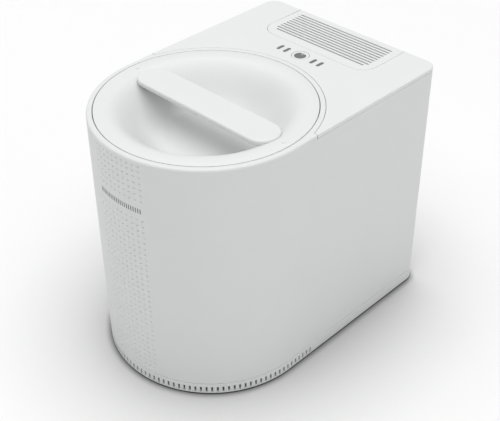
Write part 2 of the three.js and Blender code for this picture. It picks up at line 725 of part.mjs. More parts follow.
function driveAssembly() {
  const steel = () => metal(0x9a9da0);
  const bronze = () => metal(0xb08d57);
  return groupAt(0, 0, 0,
    piece('gearbox_lower_plate', lowerPlate(), steel()),
    piece('gearbox_upper_plate', gearboxPlate(UPPER_PLATE, 12), steel()),
    groupAt(0, MAIN.y, 0,
      piece('main_gear', gear(MAIN, STAGE_1, MAIN_SHAFT_RADIUS + 0.4, true), plastic(0xe9e4d4, 0.6)),
      piece('main_shaft', mainShaft(), steel()),
      piece('main_bush_lower', flangedBush(LOWER_PLATE.bottom - 0.5, LOWER_PLATE.top + GAP), bronze()),
      piece('main_bush_upper', flangedBush(UPPER_PLATE.bottom - 0.5, UPPER_PLATE.top + GAP), bronze())),
    groupAt(0, LAY_Y, 0,
      piece('compound_gear', compoundGear(), plastic(0xe9e4d4, 0.6)),
      piece('layshaft_pin', disc(PIN_RADIUS, LOWER_PLATE.bottom, UPPER_PLATE.top), steel())),
    groupAt(0, MOTOR_Y, 0,
      piece('motor_housing', motorHousing(), metal(0x7d8083, 0.45)),
      piece('motor_armature', motorArmature(), metal(0x8b5a3c, 0.5)),
      piece('motor_pinion', gear(MOTOR_PINION, STAGE_2, MOTOR.shaftRadius + 0.4, false), bronze())));
}

// ---------------------------------------------------------------- air path

function exhaustDuct() {
  const { halfWidth, bottom, top, wall } = DUCT;
  const tube = cut(
    block(-halfWidth, halfWidth, 30, BAY.frontY - GAP, bottom, top),
    block(wall - halfWidth, halfWidth - wall, 20, BAY.frontY + 1, bottom + wall, top - wall));
  return cut(tube, disc(LINER.outer + GAP, 0, HEIGHT, MEDIUM).translate(0, AXIS_Y, 0));
}

/** The space inside an open-topped box. */
function boxSpace({ halfWidth, frontY, backY, bottom, top, wall }) {
  const half = halfWidth - wall;
  return block(-half, half, frontY + wall, backY - wall, bottom + wall, top + 1);
}

function filterBay() {
  const { halfWidth, frontY, backY, bottom, top, wall } = BAY;
  const box = join(
    block(-halfWidth, halfWidth, frontY, backY, bottom, top),
    block(-halfWidth - 4, halfWidth + 4, frontY - 3, backY + 0.7, top - 3, top));
  const inlet = block(DUCT.wall - DUCT.halfWidth, DUCT.halfWidth - DUCT.wall, frontY - 1, frontY + wall + 1,
    DUCT.bottom + DUCT.wall, DUCT.top - DUCT.wall);
  const outlet = disc(BLOWER.inletRadius, bottom - 1, bottom + wall + 1).translate(0, BLOWER.y, 0);
  return cut(box, boxSpace(BAY), inlet, outlet);
}

function filterCassette() {
  const { halfWidth, frontY, backY, bottom, top, wall } = CASSETTE;
  const box = block(-halfWidth, halfWidth, frontY, backY, bottom, top);
  const inletEnd = frontY + wall + 1;
  const inlet = block(-DUCT.halfWidth, DUCT.halfWidth, frontY - 1, inletEnd, DUCT.bottom, DUCT.top);
  const outlets = [];
  for (let y = frontY + 8; y < backY - 6; y += 10) {
    outlets.push(block(-55, 55, y, y + 5, bottom - 1, bottom + wall + 1));
  }
  const middle = (frontY + backY) / 2;
  const pullBar = block(-halfWidth, halfWidth, middle - 4, middle + 4, top - 10, top);
  return join(cut(box, boxSpace(CASSETTE), inlet, ...outlets), pullBar);
}

function filterCover() {
  const slots = [];
  for (let i = 0; i < COVER_SLOT.count; i += 1) {
    const isFront = i === COVER_SLOT.count - 1;
    const half = isFront ? COVER_SLOT.frontHalf : COVER_SLOT.halfLength;
    const shape = prism(stadium(half, COVER_SLOT.width / 2, 3), DECK_BOTTOM - 1, HEIGHT + 1);
    slots.push(shape.translate(0, COVER_SLOT.backY - i * COVER_SLOT.pitch, 0));
  }
  return cut(prism(coverOutline(), DECK_BOTTOM, HEIGHT), ...slots);
}

function blowerHousing() {
  const { radius, bottom, top, wall, inletRadius } = BLOWER;
  const outletBack = PANEL_FRONT_Y - GAP - BLOWER.y;
  const outside = join(disc(radius, bottom, top, 28), block(-20, 20, radius - 12, outletBack, 176, 196));
  return cut(outside,
    disc(radius - wall, bottom + wall, top - wall, 28),
    disc(inletRadius, top - wall - 1, top + 1),
    disc(2.4, bottom - 1, bottom + wall + 1, SMALL),
    block(-17, 17, radius - 14, outletBack + 1, 179, 193));
}

function blowerWheel() {
  const spindle = 1.6;
  const discTop = 177;
  const blades = [];
  for (let i = 0; i < 10; i += 1) {
    blades.push(block(17, 26, -0.8, 0.8, discTop - 1, 197).rotateZ(radians(i * 36)));
  }
  const profile = [
    [0, 155],
    [spindle, 155],
    [spindle, discTop - 2],
    [27, discTop - 2],
    [27, discTop],
    [6, discTop],
    [6, 184],
    [0, 184],
  ];
  return join(turned(profile), ...blades);
}

function blowerMotor() {
  return cut(disc(14, 146, BLOWER.bottom - GAP), disc(2.2, 153, BLOWER.bottom + 1, SMALL));
}

function fanFrame() {
  const half = FAN.size / 2;
  const thickness = 2.2;
  const bore = disc(FAN.boreRadius, -1, FAN.depth + 1, 28);
  const body = cut(block(-half, half, -half, half, 0, FAN.depth), bore);
  const struts = [45, 135].map((angle) =>
    block(1 - half, half - 1, -1.5, 1.5, 0, thickness).rotateZ(radians(angle)));
  return join(body, disc(12, 0, thickness), ...struts);
}

function fanRotor() {
  const blades = [];
  for (let i = 0; i < 7; i += 1) {
    const blade = new THREE.BoxGeometry(14, 11, 1.4).rotateX(radians(38)).translate(19, 0, 8.5);
    blades.push(blade.rotateZ(radians((i * 360) / 7)));
  }
  return join(disc(13, 2.8, 14), ...blades);
}

function airAssembly() {
  const inset = CASSETTE.wall + 0.4;
  const half = CASSETTE.halfWidth - inset;
  const [front, back] = [CASSETTE.frontY + inset, CASSETTE.backY - inset];
  const carbon = block(-half, half, front, back, CASSETTE.bottom + inset, DUCT.bottom - 2);
  const seal = ring(23, 29, BAY.bottom + BAY.wall + GAP, CASSETTE.bottom - GAP).translate(0, BLOWER.y, 0);
  const fan = groupAt(FAN.x, PANEL_FRONT_Y - GAP - FAN.depth, FAN.z,
    piece('fan_frame', fanFrame(), plastic(0x2e3033, 0.6)),
    piece('fan_rotor', fanRotor(), plastic(0x3a3c40, 0.6)));
  fan.rotation.x = -Math.PI / 2;
  return groupAt(0, 0, 0,
    piece('exhaust_duct', exhaustDuct(), plastic(0xb9bcbf)),
    piece('filter_bay', filterBay(), plastic(0xc4c7c9)),
    piece('filter_cassette', filterCassette(), plastic(0x4a4d50)),
    piece('carbon_block', carbon, plastic(0x1d1e1f, 0.95)),
    piece('filter_seal', seal, plastic(0x2c2d2f, 0.9)),
    piece('filter_cover', filterCover(), plastic(0xeceeed, 0.42)),
    groupAt(0, BLOWER.y, 0,
      piece('blower_housing', blowerHousing(), plastic(0x2e3033)),
      piece('blower_wheel', blowerWheel(), plastic(0x4a4d50)),
      piece('blower_motor', blowerMotor(), metal(0x8a8d90))),
    fan);
}

// ---------------------------------------------------------------- controls and electrics

function powerButton() {
  const flangeTop = DECK_BOTTOM - GAP;
  const flangeBottom = flangeTop - 2;
  const profile = [
    [0, BUTTON.stemBottom],
    [3, BUTTON.stemBottom],
    [3, flangeBottom],
    [BUTTON.flangeRadius, flangeBottom],
    [BUTTON.flangeRadius, flangeTop],
    [BUTTON.radius, flangeTop],
    [BUTTON.radius, HEIGHT],
    [0, HEIGHT],
  ];
  return turned(profile);
}

function controlBoard() {
  const { halfWidth, frontY, backY, bottom, top } = BOARD;
  const lamp = () => block(-1.5, 1.5, -1.5, 1.5, top - 0.5, 304);
  const lamps = LIGHT.columns.map((x) => lamp().translate(x, LIGHT.y, 0));
  const plug = block(30, 42, backY - 16, backY - 10, bottom - 6, bottom + 0.5);
  return join(block(-halfWidth, halfWidth, frontY, backY, bottom, top), ...lamps, plug);
}

function powerBoard() {
  const { x0, x1, y0, y1, bottom, top } = POWER_BOARD;
  const sunk = top - 0.5;
  return join(
    block(x0, x1, y0, y1, bottom, top),
    block(x0 + 8, x0 + 32, y0 + 34, y0 + 62, sunk, 46),
    disc(8, sunk, 48, SMALL).translate(x0 + 16, y0 + 16, 0),
    block(x1 - 12, x1 - 4, y0 + 20, y0 + 50, sunk, 40),
    block(x0 + 12, x0 + 30, y1 - 22, y1 - 8, sunk, 38));
}

/** A recessed three-pin appliance inlet, its mouth level with the rear panel. */
function mainsInlet() {
  const [w, h] = [INLET.width / 2, INLET.height / 2];
  const body = block(-w, w, -h, h, -INLET.depth, 0);
  const flange = block(-w - 4, w + 4, -h - 3, h + 3, -WALL - GAP - 3, -WALL - GAP);
  const socket = block(2 - w, w - 2, 2 - h, h - 2, -18, 1);
  const pins = [[-7, -2], [0, 2], [7, -2]].map(([x, y]) => block(x - 1, x + 1, y - 2, y + 2, -19, -6));
  return join(cut(join(body, flange), socket), ...pins);
}

function electrics() {
  const inlet = piece('mains_inlet', mainsInlet(), plastic(0x232426, 0.6));
  inlet.position.set(INLET.x, BACK_Y, INLET.z);
  inlet.rotation.x = -Math.PI / 2;
  const button = piece('power_button', powerButton(), plastic(0xf0f2f1, 0.4));
  const boardFoot = BOARD.top + GAP;
  const tactSwitch = join(block(-3, 3, -3, 3, boardFoot, 305.5), disc(1.7, 305, 307, 8));
  const group = groupAt(0, 0, 0,
    groupAt(0, BUTTON.y, 0, button, piece('tact_switch', tactSwitch, plastic(0x2e3033))),
    piece('control_board', controlBoard(), plastic(0x2f6b46, 0.6)),
    piece('reed_switch', block(-7, 7, 76.5, 80.5, boardFoot, 309), plastic(0x55585c)),
    piece('power_board', powerBoard(), plastic(0x2f6b46, 0.6)),
    inlet);
  LIGHT.columns.forEach((x, i) => {
    const lens = prism(stadium(LIGHT.width / 2, LIGHT.length / 2, 5), LIGHT.bottom, HEIGHT);
    const light = piece(`indicator_${i + 1}`, lens, plastic(0x6d7073, 0.3));
    light.position.set(x, LIGHT.y, 0);
    group.add(light);
  });
  return group;
}

// ---------------------------------------------------------------- the whole object

const recycler = groupAt(0, 0, 0,
  housing(),
  lidAssembly(),
  wellAssembly(),
  driveAssembly(),
  airAssembly(),
  electrics());
recycler.name = 'food_waste_recycler';

export default recycler;
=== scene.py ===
"""A countertop food-waste recycler: its looks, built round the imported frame.

Lengths are in metres once they reach Blender; the small sizes below are in millimetres and pass
through MM. +Z is up and the round nose faces -Y.
"""

import json
import math

import bmesh
import bpy
from mathutils import Matrix, Vector
from mathutils.geometry import tessellate_polygon


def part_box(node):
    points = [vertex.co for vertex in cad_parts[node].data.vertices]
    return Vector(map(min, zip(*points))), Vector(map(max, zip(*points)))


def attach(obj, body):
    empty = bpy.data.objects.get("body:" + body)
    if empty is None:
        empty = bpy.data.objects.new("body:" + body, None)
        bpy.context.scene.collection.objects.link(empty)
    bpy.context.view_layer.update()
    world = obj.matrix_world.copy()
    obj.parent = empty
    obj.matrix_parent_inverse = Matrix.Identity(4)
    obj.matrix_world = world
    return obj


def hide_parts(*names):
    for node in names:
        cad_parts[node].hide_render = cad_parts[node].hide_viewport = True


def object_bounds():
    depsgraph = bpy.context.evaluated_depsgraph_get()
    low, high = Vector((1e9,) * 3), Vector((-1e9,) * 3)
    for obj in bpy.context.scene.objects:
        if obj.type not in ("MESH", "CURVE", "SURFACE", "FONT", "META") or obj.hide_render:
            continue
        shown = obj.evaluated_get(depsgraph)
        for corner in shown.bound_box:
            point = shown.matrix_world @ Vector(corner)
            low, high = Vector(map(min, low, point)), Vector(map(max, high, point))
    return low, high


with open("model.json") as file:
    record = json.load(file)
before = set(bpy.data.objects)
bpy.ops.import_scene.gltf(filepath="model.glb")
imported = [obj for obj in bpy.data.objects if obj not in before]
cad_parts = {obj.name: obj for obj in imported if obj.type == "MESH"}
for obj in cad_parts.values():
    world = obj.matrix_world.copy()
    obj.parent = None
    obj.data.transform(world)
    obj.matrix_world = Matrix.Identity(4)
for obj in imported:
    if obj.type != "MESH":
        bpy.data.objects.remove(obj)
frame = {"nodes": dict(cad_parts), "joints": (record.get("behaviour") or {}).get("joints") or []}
cad_low, cad_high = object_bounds()

MM = 0.001
SEGMENTS = 160


# ------------------------------------------------------------------ sizes, in millimetres

def node_box(name):
    """Lowest and highest corner of a CAD node, in millimetres."""
    return [Vector(corner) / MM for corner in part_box(name)]


def node_middle(name):
    low, high = node_box(name)
    return (low + high) / 2


def numbered_middles(name):
    """The middles of the four alike CAD nodes called name_1 to name_4."""
    return [node_middle(f"{name}_{i}") for i in range(1, 5)]


GAP = 0.3  # between neighbouring pieces
SKIN = 0.1  # the outer faces stand this far inside the CAD box, so that raised marks stay within it
RADIUS = (cad_high[0] - cad_low[0]) / 2 / MM
AXIS_Y = cad_low[1] / MM + RADIUS
BACK = cad_high[1] / MM
TOP = node_box("top_deck")[1].z
DECK_FRONT = node_box("top_deck")[0].y - GAP
SHELL_BOTTOM = node_box("outer_shell")[0].z
BASE_BOTTOM = node_box("base_pan")[0].z
LID_RADIUS = (node_box("lid")[1].x - node_box("lid")[0].x) / 2
BORE_RADIUS = LID_RADIUS + 0.8
COLLAR_RADIUS = 131.2
CORNER_RADIUS = 15
SHOULDER_RADIUS = 3
DECK_BOTTOM = TOP - 5
RIM_BOTTOM = DECK_BOTTOM - GAP
WALL = 3
LID_TURN = next(j for j in frame["joints"] if j["name"] == "lid_turn")["range_deg"][1]
LUG = {"angles": (90, 210, 330), "spread": 14, "inner": 116.8, "outer": 123.5, "low": 303, "high": 306}


# ------------------------------------------------------------------ mesh tools

class Body:
    """Vertices and faces of one piece, collected in millimetres."""

    def __init__(self):
        self.points = []
        self.faces = []

    def add(self, points, faces):
        first = len(self.points)
        self.points += [tuple(p) for p in points]
        self.faces += [tuple(first + i for i in face) for face in faces]
        return self

    def merge(self, other, matrix=None):
        points = other.points if matrix is None else [tuple(matrix @ Vector(p)) for p in other.points]
        return self.add(points, other.faces)


SHARP_ANGLE = 32  # degrees; edges sharper than this are shaded hard


def make(name, shape, material, body, slot, *stands_for):
    """Turns a Body into a shaded object that rides on a CAD body."""
    mesh = bpy.data.meshes.new(name)
    mesh.from_pydata([tuple(c * MM for c in p) for p in shape.points], [], shape.faces)
    work = bmesh.new()
    work.from_mesh(mesh)
    bmesh.ops.remove_doubles(work, verts=work.verts, dist=2e-6)
    bmesh.ops.recalc_face_normals(work, faces=work.faces)
    work.to_mesh(mesh)
    work.free()
    mesh.polygons.foreach_set("use_smooth", [True] * len(mesh.polygons))
    mesh.set_sharp_from_angle(angle=math.radians(SHARP_ANGLE))
    mesh.materials.append(material)
    piece = bpy.data.objects.new(name, mesh)
    bpy.context.scene.collection.objects.link(piece)
    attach(piece, body)
    if stands_for:
        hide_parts(*stands_for)
    return piece


def arc(x, y, radius, start, end, segments):
    """Points on an arc, angles in degrees."""
    angles = [math.radians(start + (end - start) * i / segments) for i in range(segments + 1)]
    return [(x + radius * math.cos(a), y + radius * math.sin(a)) for a in angles]


def circle(radius, x=0.0, y=0.0, segments=64):
    return arc(x, y, radius, 0, 360, segments)[:-1]


def stadium(half_length, half_width, x=0.0, y=0.0, segments=16):
    """A slot shape, long in X or in Y, whichever half size is larger."""
    radius = min(half_length, half_width)
    reach = abs(half_length - half_width)
    if half_length >= half_width:
        right_end = arc(x + reach, y, radius, -90, 90, segments)
        return right_end + arc(x - reach, y, radius, 90, 270, segments)
    far_end = arc(x, y + reach, radius, 0, 180, segments)
    return far_end + arc(x, y - reach, radius, 180, 360, segments)


def rectangle(x, y, half_x, half_y, radius=1.0, segments=4):
    """A rectangle with rounded corners."""
    return (arc(x + half_x - radius, y + half_y - radius, radius, 0, 90, segments)
            + arc(x - half_x + radius, y + half_y - radius, radius, 90, 180, segments)
            + arc(x - half_x + radius, y - half_y + radius, radius, 180, 270, segments)
            + arc(x + half_x - radius, y - half_y + radius, radius, 270, 360, segments))


def about_axis(radius, degrees):
    """A point of the plan, at a distance and an angle from the lid's axis."""
    angle = math.radians(degrees)
    return radius * math.cos(angle), AXIS_Y + radius * math.sin(angle)


def offset(points, distances):
    """Moves a counter-clockwise outline inwards, by one distance a point."""
    moved = []
    count = len(points)
    for i, (x, y) in enumerate(points):
        before = Vector(points[i - 1])
        after = Vector(points[(i + 1) % count])
        here = Vector((x, y))
        a = (here - before).normalized()
        b = (after - here).normalized()
        normal = Vector((-a.y - b.y, a.x + b.x))
        scale = 2 / max(normal.length_squared, 1.0)
        moved.append((x + normal.x * scale * distances[i], y + normal.y * scale * distances[i]))
    return moved


def rounding_rings(points, low, high, top, bottom, steps=5, inward=1):
    """Rings up the side of a plate: rounded bottom edge, straight wall, rounded top edge."""
    rings = []
    for k in range(steps + 1):
        turn = math.radians(90 * k / steps)
        inset = [inward * r * (1 - math.sin(turn)) for r in bottom]
        ring = offset(points, inset)
        rings.append([(x, y, low + r * (1 - math.cos(turn))) for (x, y), r in zip(ring, bottom)])
    for k in range(steps + 1):
        turn = math.radians(90 * k / steps)
        inset = [inward * r * (1 - math.cos(turn)) for r in top]
        ring = offset(points, inset)
        rings.append([(x, y, high - r * (1 - math.sin(turn))) for (x, y), r in zip(ring, top)])
    return rings


CAP_LEAD = 0.25  # a narrow flat ring between a rounded edge and the face beside it


def plate(outer, holes, low, high, top=0.5, bottom=0.3, hole_top=0.3, steps=5):
    """A flat plate with holes and rounded edges. top may be one radius, or one for each outer point."""
    shape = Body()
    caps = {low: [], high: []}
    for index, loop in enumerate([outer, *holes]):
        is_outer = index == 0
        inward = 1 if is_outer else -1
        if is_outer and isinstance(top, list):
            top_radii = top
        else:
            top_radii = [top if is_outer else hole_top] * len(loop)
        low_radii = [bottom if is_outer else min(bottom, hole_top)] * len(loop)
        rings = rounding_rings(loop, low, high, top_radii, low_radii, steps, inward)
        lead = [(x, y, low) for x, y in offset(loop, [inward * (r + CAP_LEAD) for r in low_radii])]
        tail = [(x, y, high) for x, y in offset(loop, [inward * (r + CAP_LEAD) for r in top_radii])]
        shape.merge(skin([lead, *rings, tail]))
        caps[low].append(lead)
        caps[high].append(tail)
    for loops in caps.values():
        triangles = tessellate_polygon([[Vector(p) for p in loop] for loop in loops])
        shape.add([p for loop in loops for p in loop], triangles)
    return shape


def skin(rings, closed=False):
    """Quads between rings of the same length, each ring closed on itself."""
    shape = Body()
    count = len(rings[0])
    faces = []
    pairs = len(rings) if closed else len(rings) - 1
    for r in range(pairs):
        a = r * count
        b = ((r + 1) % len(rings)) * count
        faces += [(a + i, a + (i + 1) % count, b + (i + 1) % count, b + i) for i in range(count)]
    return shape.add([p for ring in rings for p in ring], faces)


def turned(profile, x=0.0, y=0.0, segments=SEGMENTS):
    """A turned piece from (radius, height) pairs, ending on the axis or closed on itself."""
    on_axis = profile[0][0] == 0 and profile[-1][0] == 0
    body = profile[1:-1] if on_axis else profile
    rings = [[(px, py, z) for px, py in circle(r, x, y, segments)] for r, z in body]
    shape = skin(rings, closed=not on_axis)
    if on_axis:
        for ring, (_, z) in ((rings[0], profile[0]), (rings[-1], profile[-1])):
            fan = [(i, (i + 1) % segments, segments) for i in range(segments)]
            shape.add([*ring, (x, y, z)], fan)
    return shape


def rounded(profile, radius, steps=4):
    """Rounds the corners of a closed (radius, height) profile."""
    smooth = []
    count = len(profile)
    for i, corner in enumerate(profile):
        here = Vector(corner)
        before = Vector(profile[i - 1]) - here
        after = Vector(profile[(i + 1) % count]) - here
        reach = min(radius, before.length * 0.45, after.length * 0.45)
        start = here + before.normalized() * reach
        end = here + after.normalized() * reach
        for k in range(steps + 1):
            t = k / steps
            smooth.append(tuple((1 - t) ** 2 * start + 2 * t * (1 - t) * here + t ** 2 * end))
    return smooth


def brick(x0, x1, y0, y1, z0, z1, radius=0.6):
    """A box with rounded upright edges and softened rims."""
    radius = min(radius, (x1 - x0) / 2.2, (y1 - y0) / 2.2)
    corners = (arc(x1 - radius, y1 - radius, radius, 0, 90, 4)
               + arc(x0 + radius, y1 - radius, radius, 90, 180, 4)
               + arc(x0 + radius, y0 + radius, radius, 180, 270, 4)
               + arc(x1 - radius, y0 + radius, radius, 270, 360, 4))
    soft = min(0.4, radius / 2)
    return plate(corners, [], z0, z1, top=soft, bottom=soft, steps=3)


# ------------------------------------------------------------------ the housing's plan

# Lengths along the wall, each starting where the one before it ends; NOSE_ARC starts at the nose's front.
NOSE_ARC = math.pi * RADIUS / 2
STRAIGHT = BACK - CORNER_RADIUS - AXIS_Y
CORNER_ARC = math.pi * CORNER_RADIUS / 2
HALF_BACK = RADIUS - CORNER_RADIUS
HALF_LOOP = NOSE_ARC + STRAIGHT + CORNER_ARC + HALF_BACK


def wall_point(along, inset):
    """A point of the housing's plan. along runs from the nose's front, positive towards +X."""
    side = 1 if along >= 0 else -1
    s = abs(along)
    inset += SKIN
    if s <= NOSE_ARC:
        angle = s / RADIUS
        reach = RADIUS - inset
        return side * reach * math.sin(angle), AXIS_Y - reach * math.cos(angle)
    s -= NOSE_ARC
    if s <= STRAIGHT:
        return side * (RADIUS - inset), AXIS_Y + s
    s -= STRAIGHT
    if s <= CORNER_ARC:
        angle = s / CORNER_RADIUS
        reach = CORNER_RADIUS - inset
        return side * (HALF_BACK + reach * math.cos(angle)), BACK - CORNER_RADIUS + reach * math.sin(angle)
    s -= CORNER_ARC
    return side * (HALF_BACK - s), BACK - inset


def spaced(start, end, count):
    return [start + (end - start) * i / count for i in range(count + 1)]


def half_stations(first, nose_steps):
    """Places along one side of the wall, from first on the nose to the back corner's end."""
    stations = spaced(first, NOSE_ARC, nose_steps)
    stations += spaced(NOSE_ARC, NOSE_ARC + DECK_FRONT - AXIS_Y, 3)[1:]
    stations += spaced(NOSE_ARC + DECK_FRONT - AXIS_Y, NOSE_ARC + STRAIGHT, 8)[1:]
    stations += spaced(NOSE_ARC + STRAIGHT, NOSE_ARC + STRAIGHT + CORNER_ARC, 10)[1:]
    return stations


# ------------------------------------------------------------------ materials

ROUGHNESS_SWING = 0.05
BUMP_DISTANCE = 0.0002  # metres


def node(tree, kind, **settings):
    """A shader node; each setting is an input's value or, failing that, a property of the node."""
    made = tree.nodes.new(kind)
    for key, value in settings.items():
        if key in made.inputs:
            made.inputs[key].default_value = value
        else:
            setattr(made, key, value)
    return made


def shaded(name, color, roughness, metallic=0.0, mottle=0.03, mottle_scale=18.0, grain=0.05,
           grain_scale=2600.0, stretch=(1, 1, 1), coat=0.0, sheen=0.0):
    """A procedural surface: slight colour mottling, uneven roughness, and a fine moulded or brushed grain."""
    material = bpy.data.materials.new(name)
    material.use_nodes = True
    tree = material.node_tree
    shader = tree.nodes["Principled BSDF"]
    shader.inputs["Metallic"].default_value = metallic
    shader.inputs["Coat Weight"].default_value = coat
    shader.inputs["Sheen Weight"].default_value = sheen
    place = node(tree, "ShaderNodeTexCoord")
    mapping = node(tree, "ShaderNodeMapping", Scale=stretch)
    tree.links.new(place.outputs["Object"], mapping.inputs["Vector"])
    cloud = node(tree, "ShaderNodeTexNoise", Scale=mottle_scale, Detail=4.0, Roughness=0.6)
    tree.links.new(place.outputs["Object"], cloud.inputs["Vector"])
    ramp = node(tree, "ShaderNodeValToRGB")
    dark = [c * (1 - mottle) for c in color]
    light = [min(c * (1 + mottle), 1.0) for c in color]
    ramp.color_ramp.elements[0].position = 0.35
    ramp.color_ramp.elements[0].color = (*dark, 1)
    ramp.color_ramp.elements[1].position = 0.65
    ramp.color_ramp.elements[1].color = (*light, 1)
    tree.links.new(cloud.outputs["Fac"], ramp.inputs["Fac"])
    tree.links.new(ramp.outputs["Color"], shader.inputs["Base Color"])
    spread = node(tree, "ShaderNodeMapRange")
    spread.inputs["To Min"].default_value = roughness - ROUGHNESS_SWING
    spread.inputs["To Max"].default_value = roughness + ROUGHNESS_SWING
    fine = node(tree, "ShaderNodeTexNoise", Scale=grain_scale, Detail=2.0, Roughness=0.5)
    tree.links.new(mapping.outputs["Vector"], fine.inputs["Vector"])
    tree.links.new(cloud.outputs["Fac"], spread.inputs["Value"])
    tree.links.new(spread.outputs["Result"], shader.inputs["Roughness"])
    bump = node(tree, "ShaderNodeBump", Strength=grain, Distance=BUMP_DISTANCE)
    tree.links.new(fine.outputs["Fac"], bump.inputs["Height"])
    tree.links.new(bump.outputs["Normal"], shader.inputs["Normal"])
    return material


SHELL_WHITE = shaded("shell_white_satin", (0.62, 0.634, 0.628), 0.48, mottle=0.006, grain=0.10)
DECK_WHITE = shaded("deck_white_satin", (0.63, 0.644, 0.638), 0.44, mottle=0.005, grain=0.08)
LID_WHITE = shaded("lid_white_satin", (0.63, 0.644, 0.638), 0.42, mottle=0.005, grain=0.06)
BASE_WHITE = shaded("base_white_satin", (0.62, 0.634, 0.628), 0.5, mottle=0.008, grain=0.12)
PANEL_WHITE = shaded("panel_white_texture", (0.60, 0.614, 0.608), 0.55, mottle=0.01, grain=0.35,
                     grain_scale=1500.0)
MARK_GREY = shaded("printed_grey", (0.125, 0.13, 0.132), 0.5, mottle=0.04, grain=0.04)
LENS_GREY = shaded("smoked_lens", (0.125, 0.13, 0.132), 0.35, mottle=0.05, grain=0.02, coat=0.4)
RUBBER = shaded("rubber_dark", (0.025, 0.026, 0.028), 0.75, mottle=0.1, grain=0.3,
                grain_scale=1800.0)
GASKET = shaded("gasket_silicone", (0.18, 0.19, 0.2), 0.6, mottle=0.06, grain=0.15)
STEEL = shaded("brushed_steel_grey", (0.52, 0.53, 0.54), 0.32, metallic=1.0, mottle=0.05, grain=0.2,
               grain_scale=900.0, stretch=(1, 1, 0.05))
BUCKET_METAL = shaded("bucket_aluminium", (0.62, 0.63, 0.64), 0.38, metallic=1.0, mottle=0.04, grain=0.18,
                      grain_scale=1200.0, stretch=(0.06, 0.06, 1))
COATED = shaded("heater_cast_coating", (0.22, 0.225, 0.23), 0.55, metallic=0.6, mottle=0.1,
                grain=0.3, grain_scale=700.0)
BRONZE = shaded("sintered_bronze", (0.42, 0.29, 0.14), 0.42, metallic=1.0, mottle=0.12,
                grain=0.3, grain_scale=1400.0)
NYLON = shaded("natural_nylon", (0.72, 0.68, 0.58), 0.45, mottle=0.03, grain=0.08)
MOTOR_STEEL = shaded("plated_motor_steel", (0.36, 0.37, 0.38), 0.35, metallic=1.0,
                     mottle=0.08, grain=0.12)
FELT = shaded("insulation_felt", (0.70, 0.66, 0.56), 0.95, mottle=0.12, mottle_scale=90.0,
              grain=0.8, grain_scale=900.0, sheen=0.3)
DARK = shaded("dark_moulding", (0.035, 0.037, 0.04), 0.5, mottle=0.08, grain=0.3, grain_scale=1500.0)
GREY = shaded("grey_moulding", (0.42, 0.43, 0.44), 0.5, mottle=0.04, grain=0.2, grain_scale=1500.0)
CARBON = shaded("carbon_granules", (0.015, 0.015, 0.016), 0.7, mottle=0.6, mottle_scale=420.0,
                grain=1.0, grain_scale=420.0)
BOARD = shaded("board_solder_mask", (0.02, 0.13, 0.06), 0.35, mottle=0.15, mottle_scale=120.0,
               grain=0.05, coat=0.3)


# ------------------------------------------------------------------ outer shell

DIMPLE = {"columns": 10, "pitch_u": 7.4, "pitch_z": 7.5, "radius": 1.5, "depth": 1.3}
UPPER_ROWS = [268.3 + DIMPLE["pitch_z"] * k for k in range(6)] + [312.2]
LOWER_ROWS = [242.6 - DIMPLE["pitch_z"] * k for k in range(30)]
# From a dimple's lip inwards: (share of its radius, share of its depth).
DIMPLE_SIDE = [(1.15, 0.0), (1.0, 0.04), (0.85, 0.35), (0.6, 0.75), (0.3, 0.95)]
PANEL_HALF = node_box("rear_panel")[1].x + GAP
WALL_EDGE = 0.4  # rounding at the wall's foot and along its top beside the deck
THROAT = {"inner": 112.5, "outer": 128.8, "shelf": 3}
CATCH = {"inner": 119.5, "root": BORE_RADIUS + 0.5, "low": 308, "high": 311}
COLLAR_MARK = {"radius": 1.4, "height": 0.5, "distance": 129}
FRONT_MARK = {"bars": 21, "reach": 31.5, "half": 0.62, "low": 252.3, "high": 258.7, "raised": 0.08,
              "sunk": 0.3}


def dimple_rows():
    """(low, middle, high, has dimples) for each row of the nose's strip, from the bottom up."""
    half = DIMPLE["pitch_z"] / 2
    bottom = SHELL_BOTTOM + 0.5
    rows = [(bottom, (bottom + LOWER_ROWS[-1] - half) / 2, LOWER_ROWS[-1] - half, False)]
    rows += [(z - half, z, z + half, True) for z in reversed(LOWER_ROWS)]
    band_low = LOWER_ROWS[0] + half
    band_high = UPPER_ROWS[0] - half
    rows.append((band_low, (band_low + band_high) / 2, band_high, False))
    rows += [(z - half, z, z + half, True) for z in UPPER_ROWS[:-1]]
    rows.append((UPPER_ROWS[-2] + half, UPPER_ROWS[-1], RIM_BOTTOM, True))
    return rows


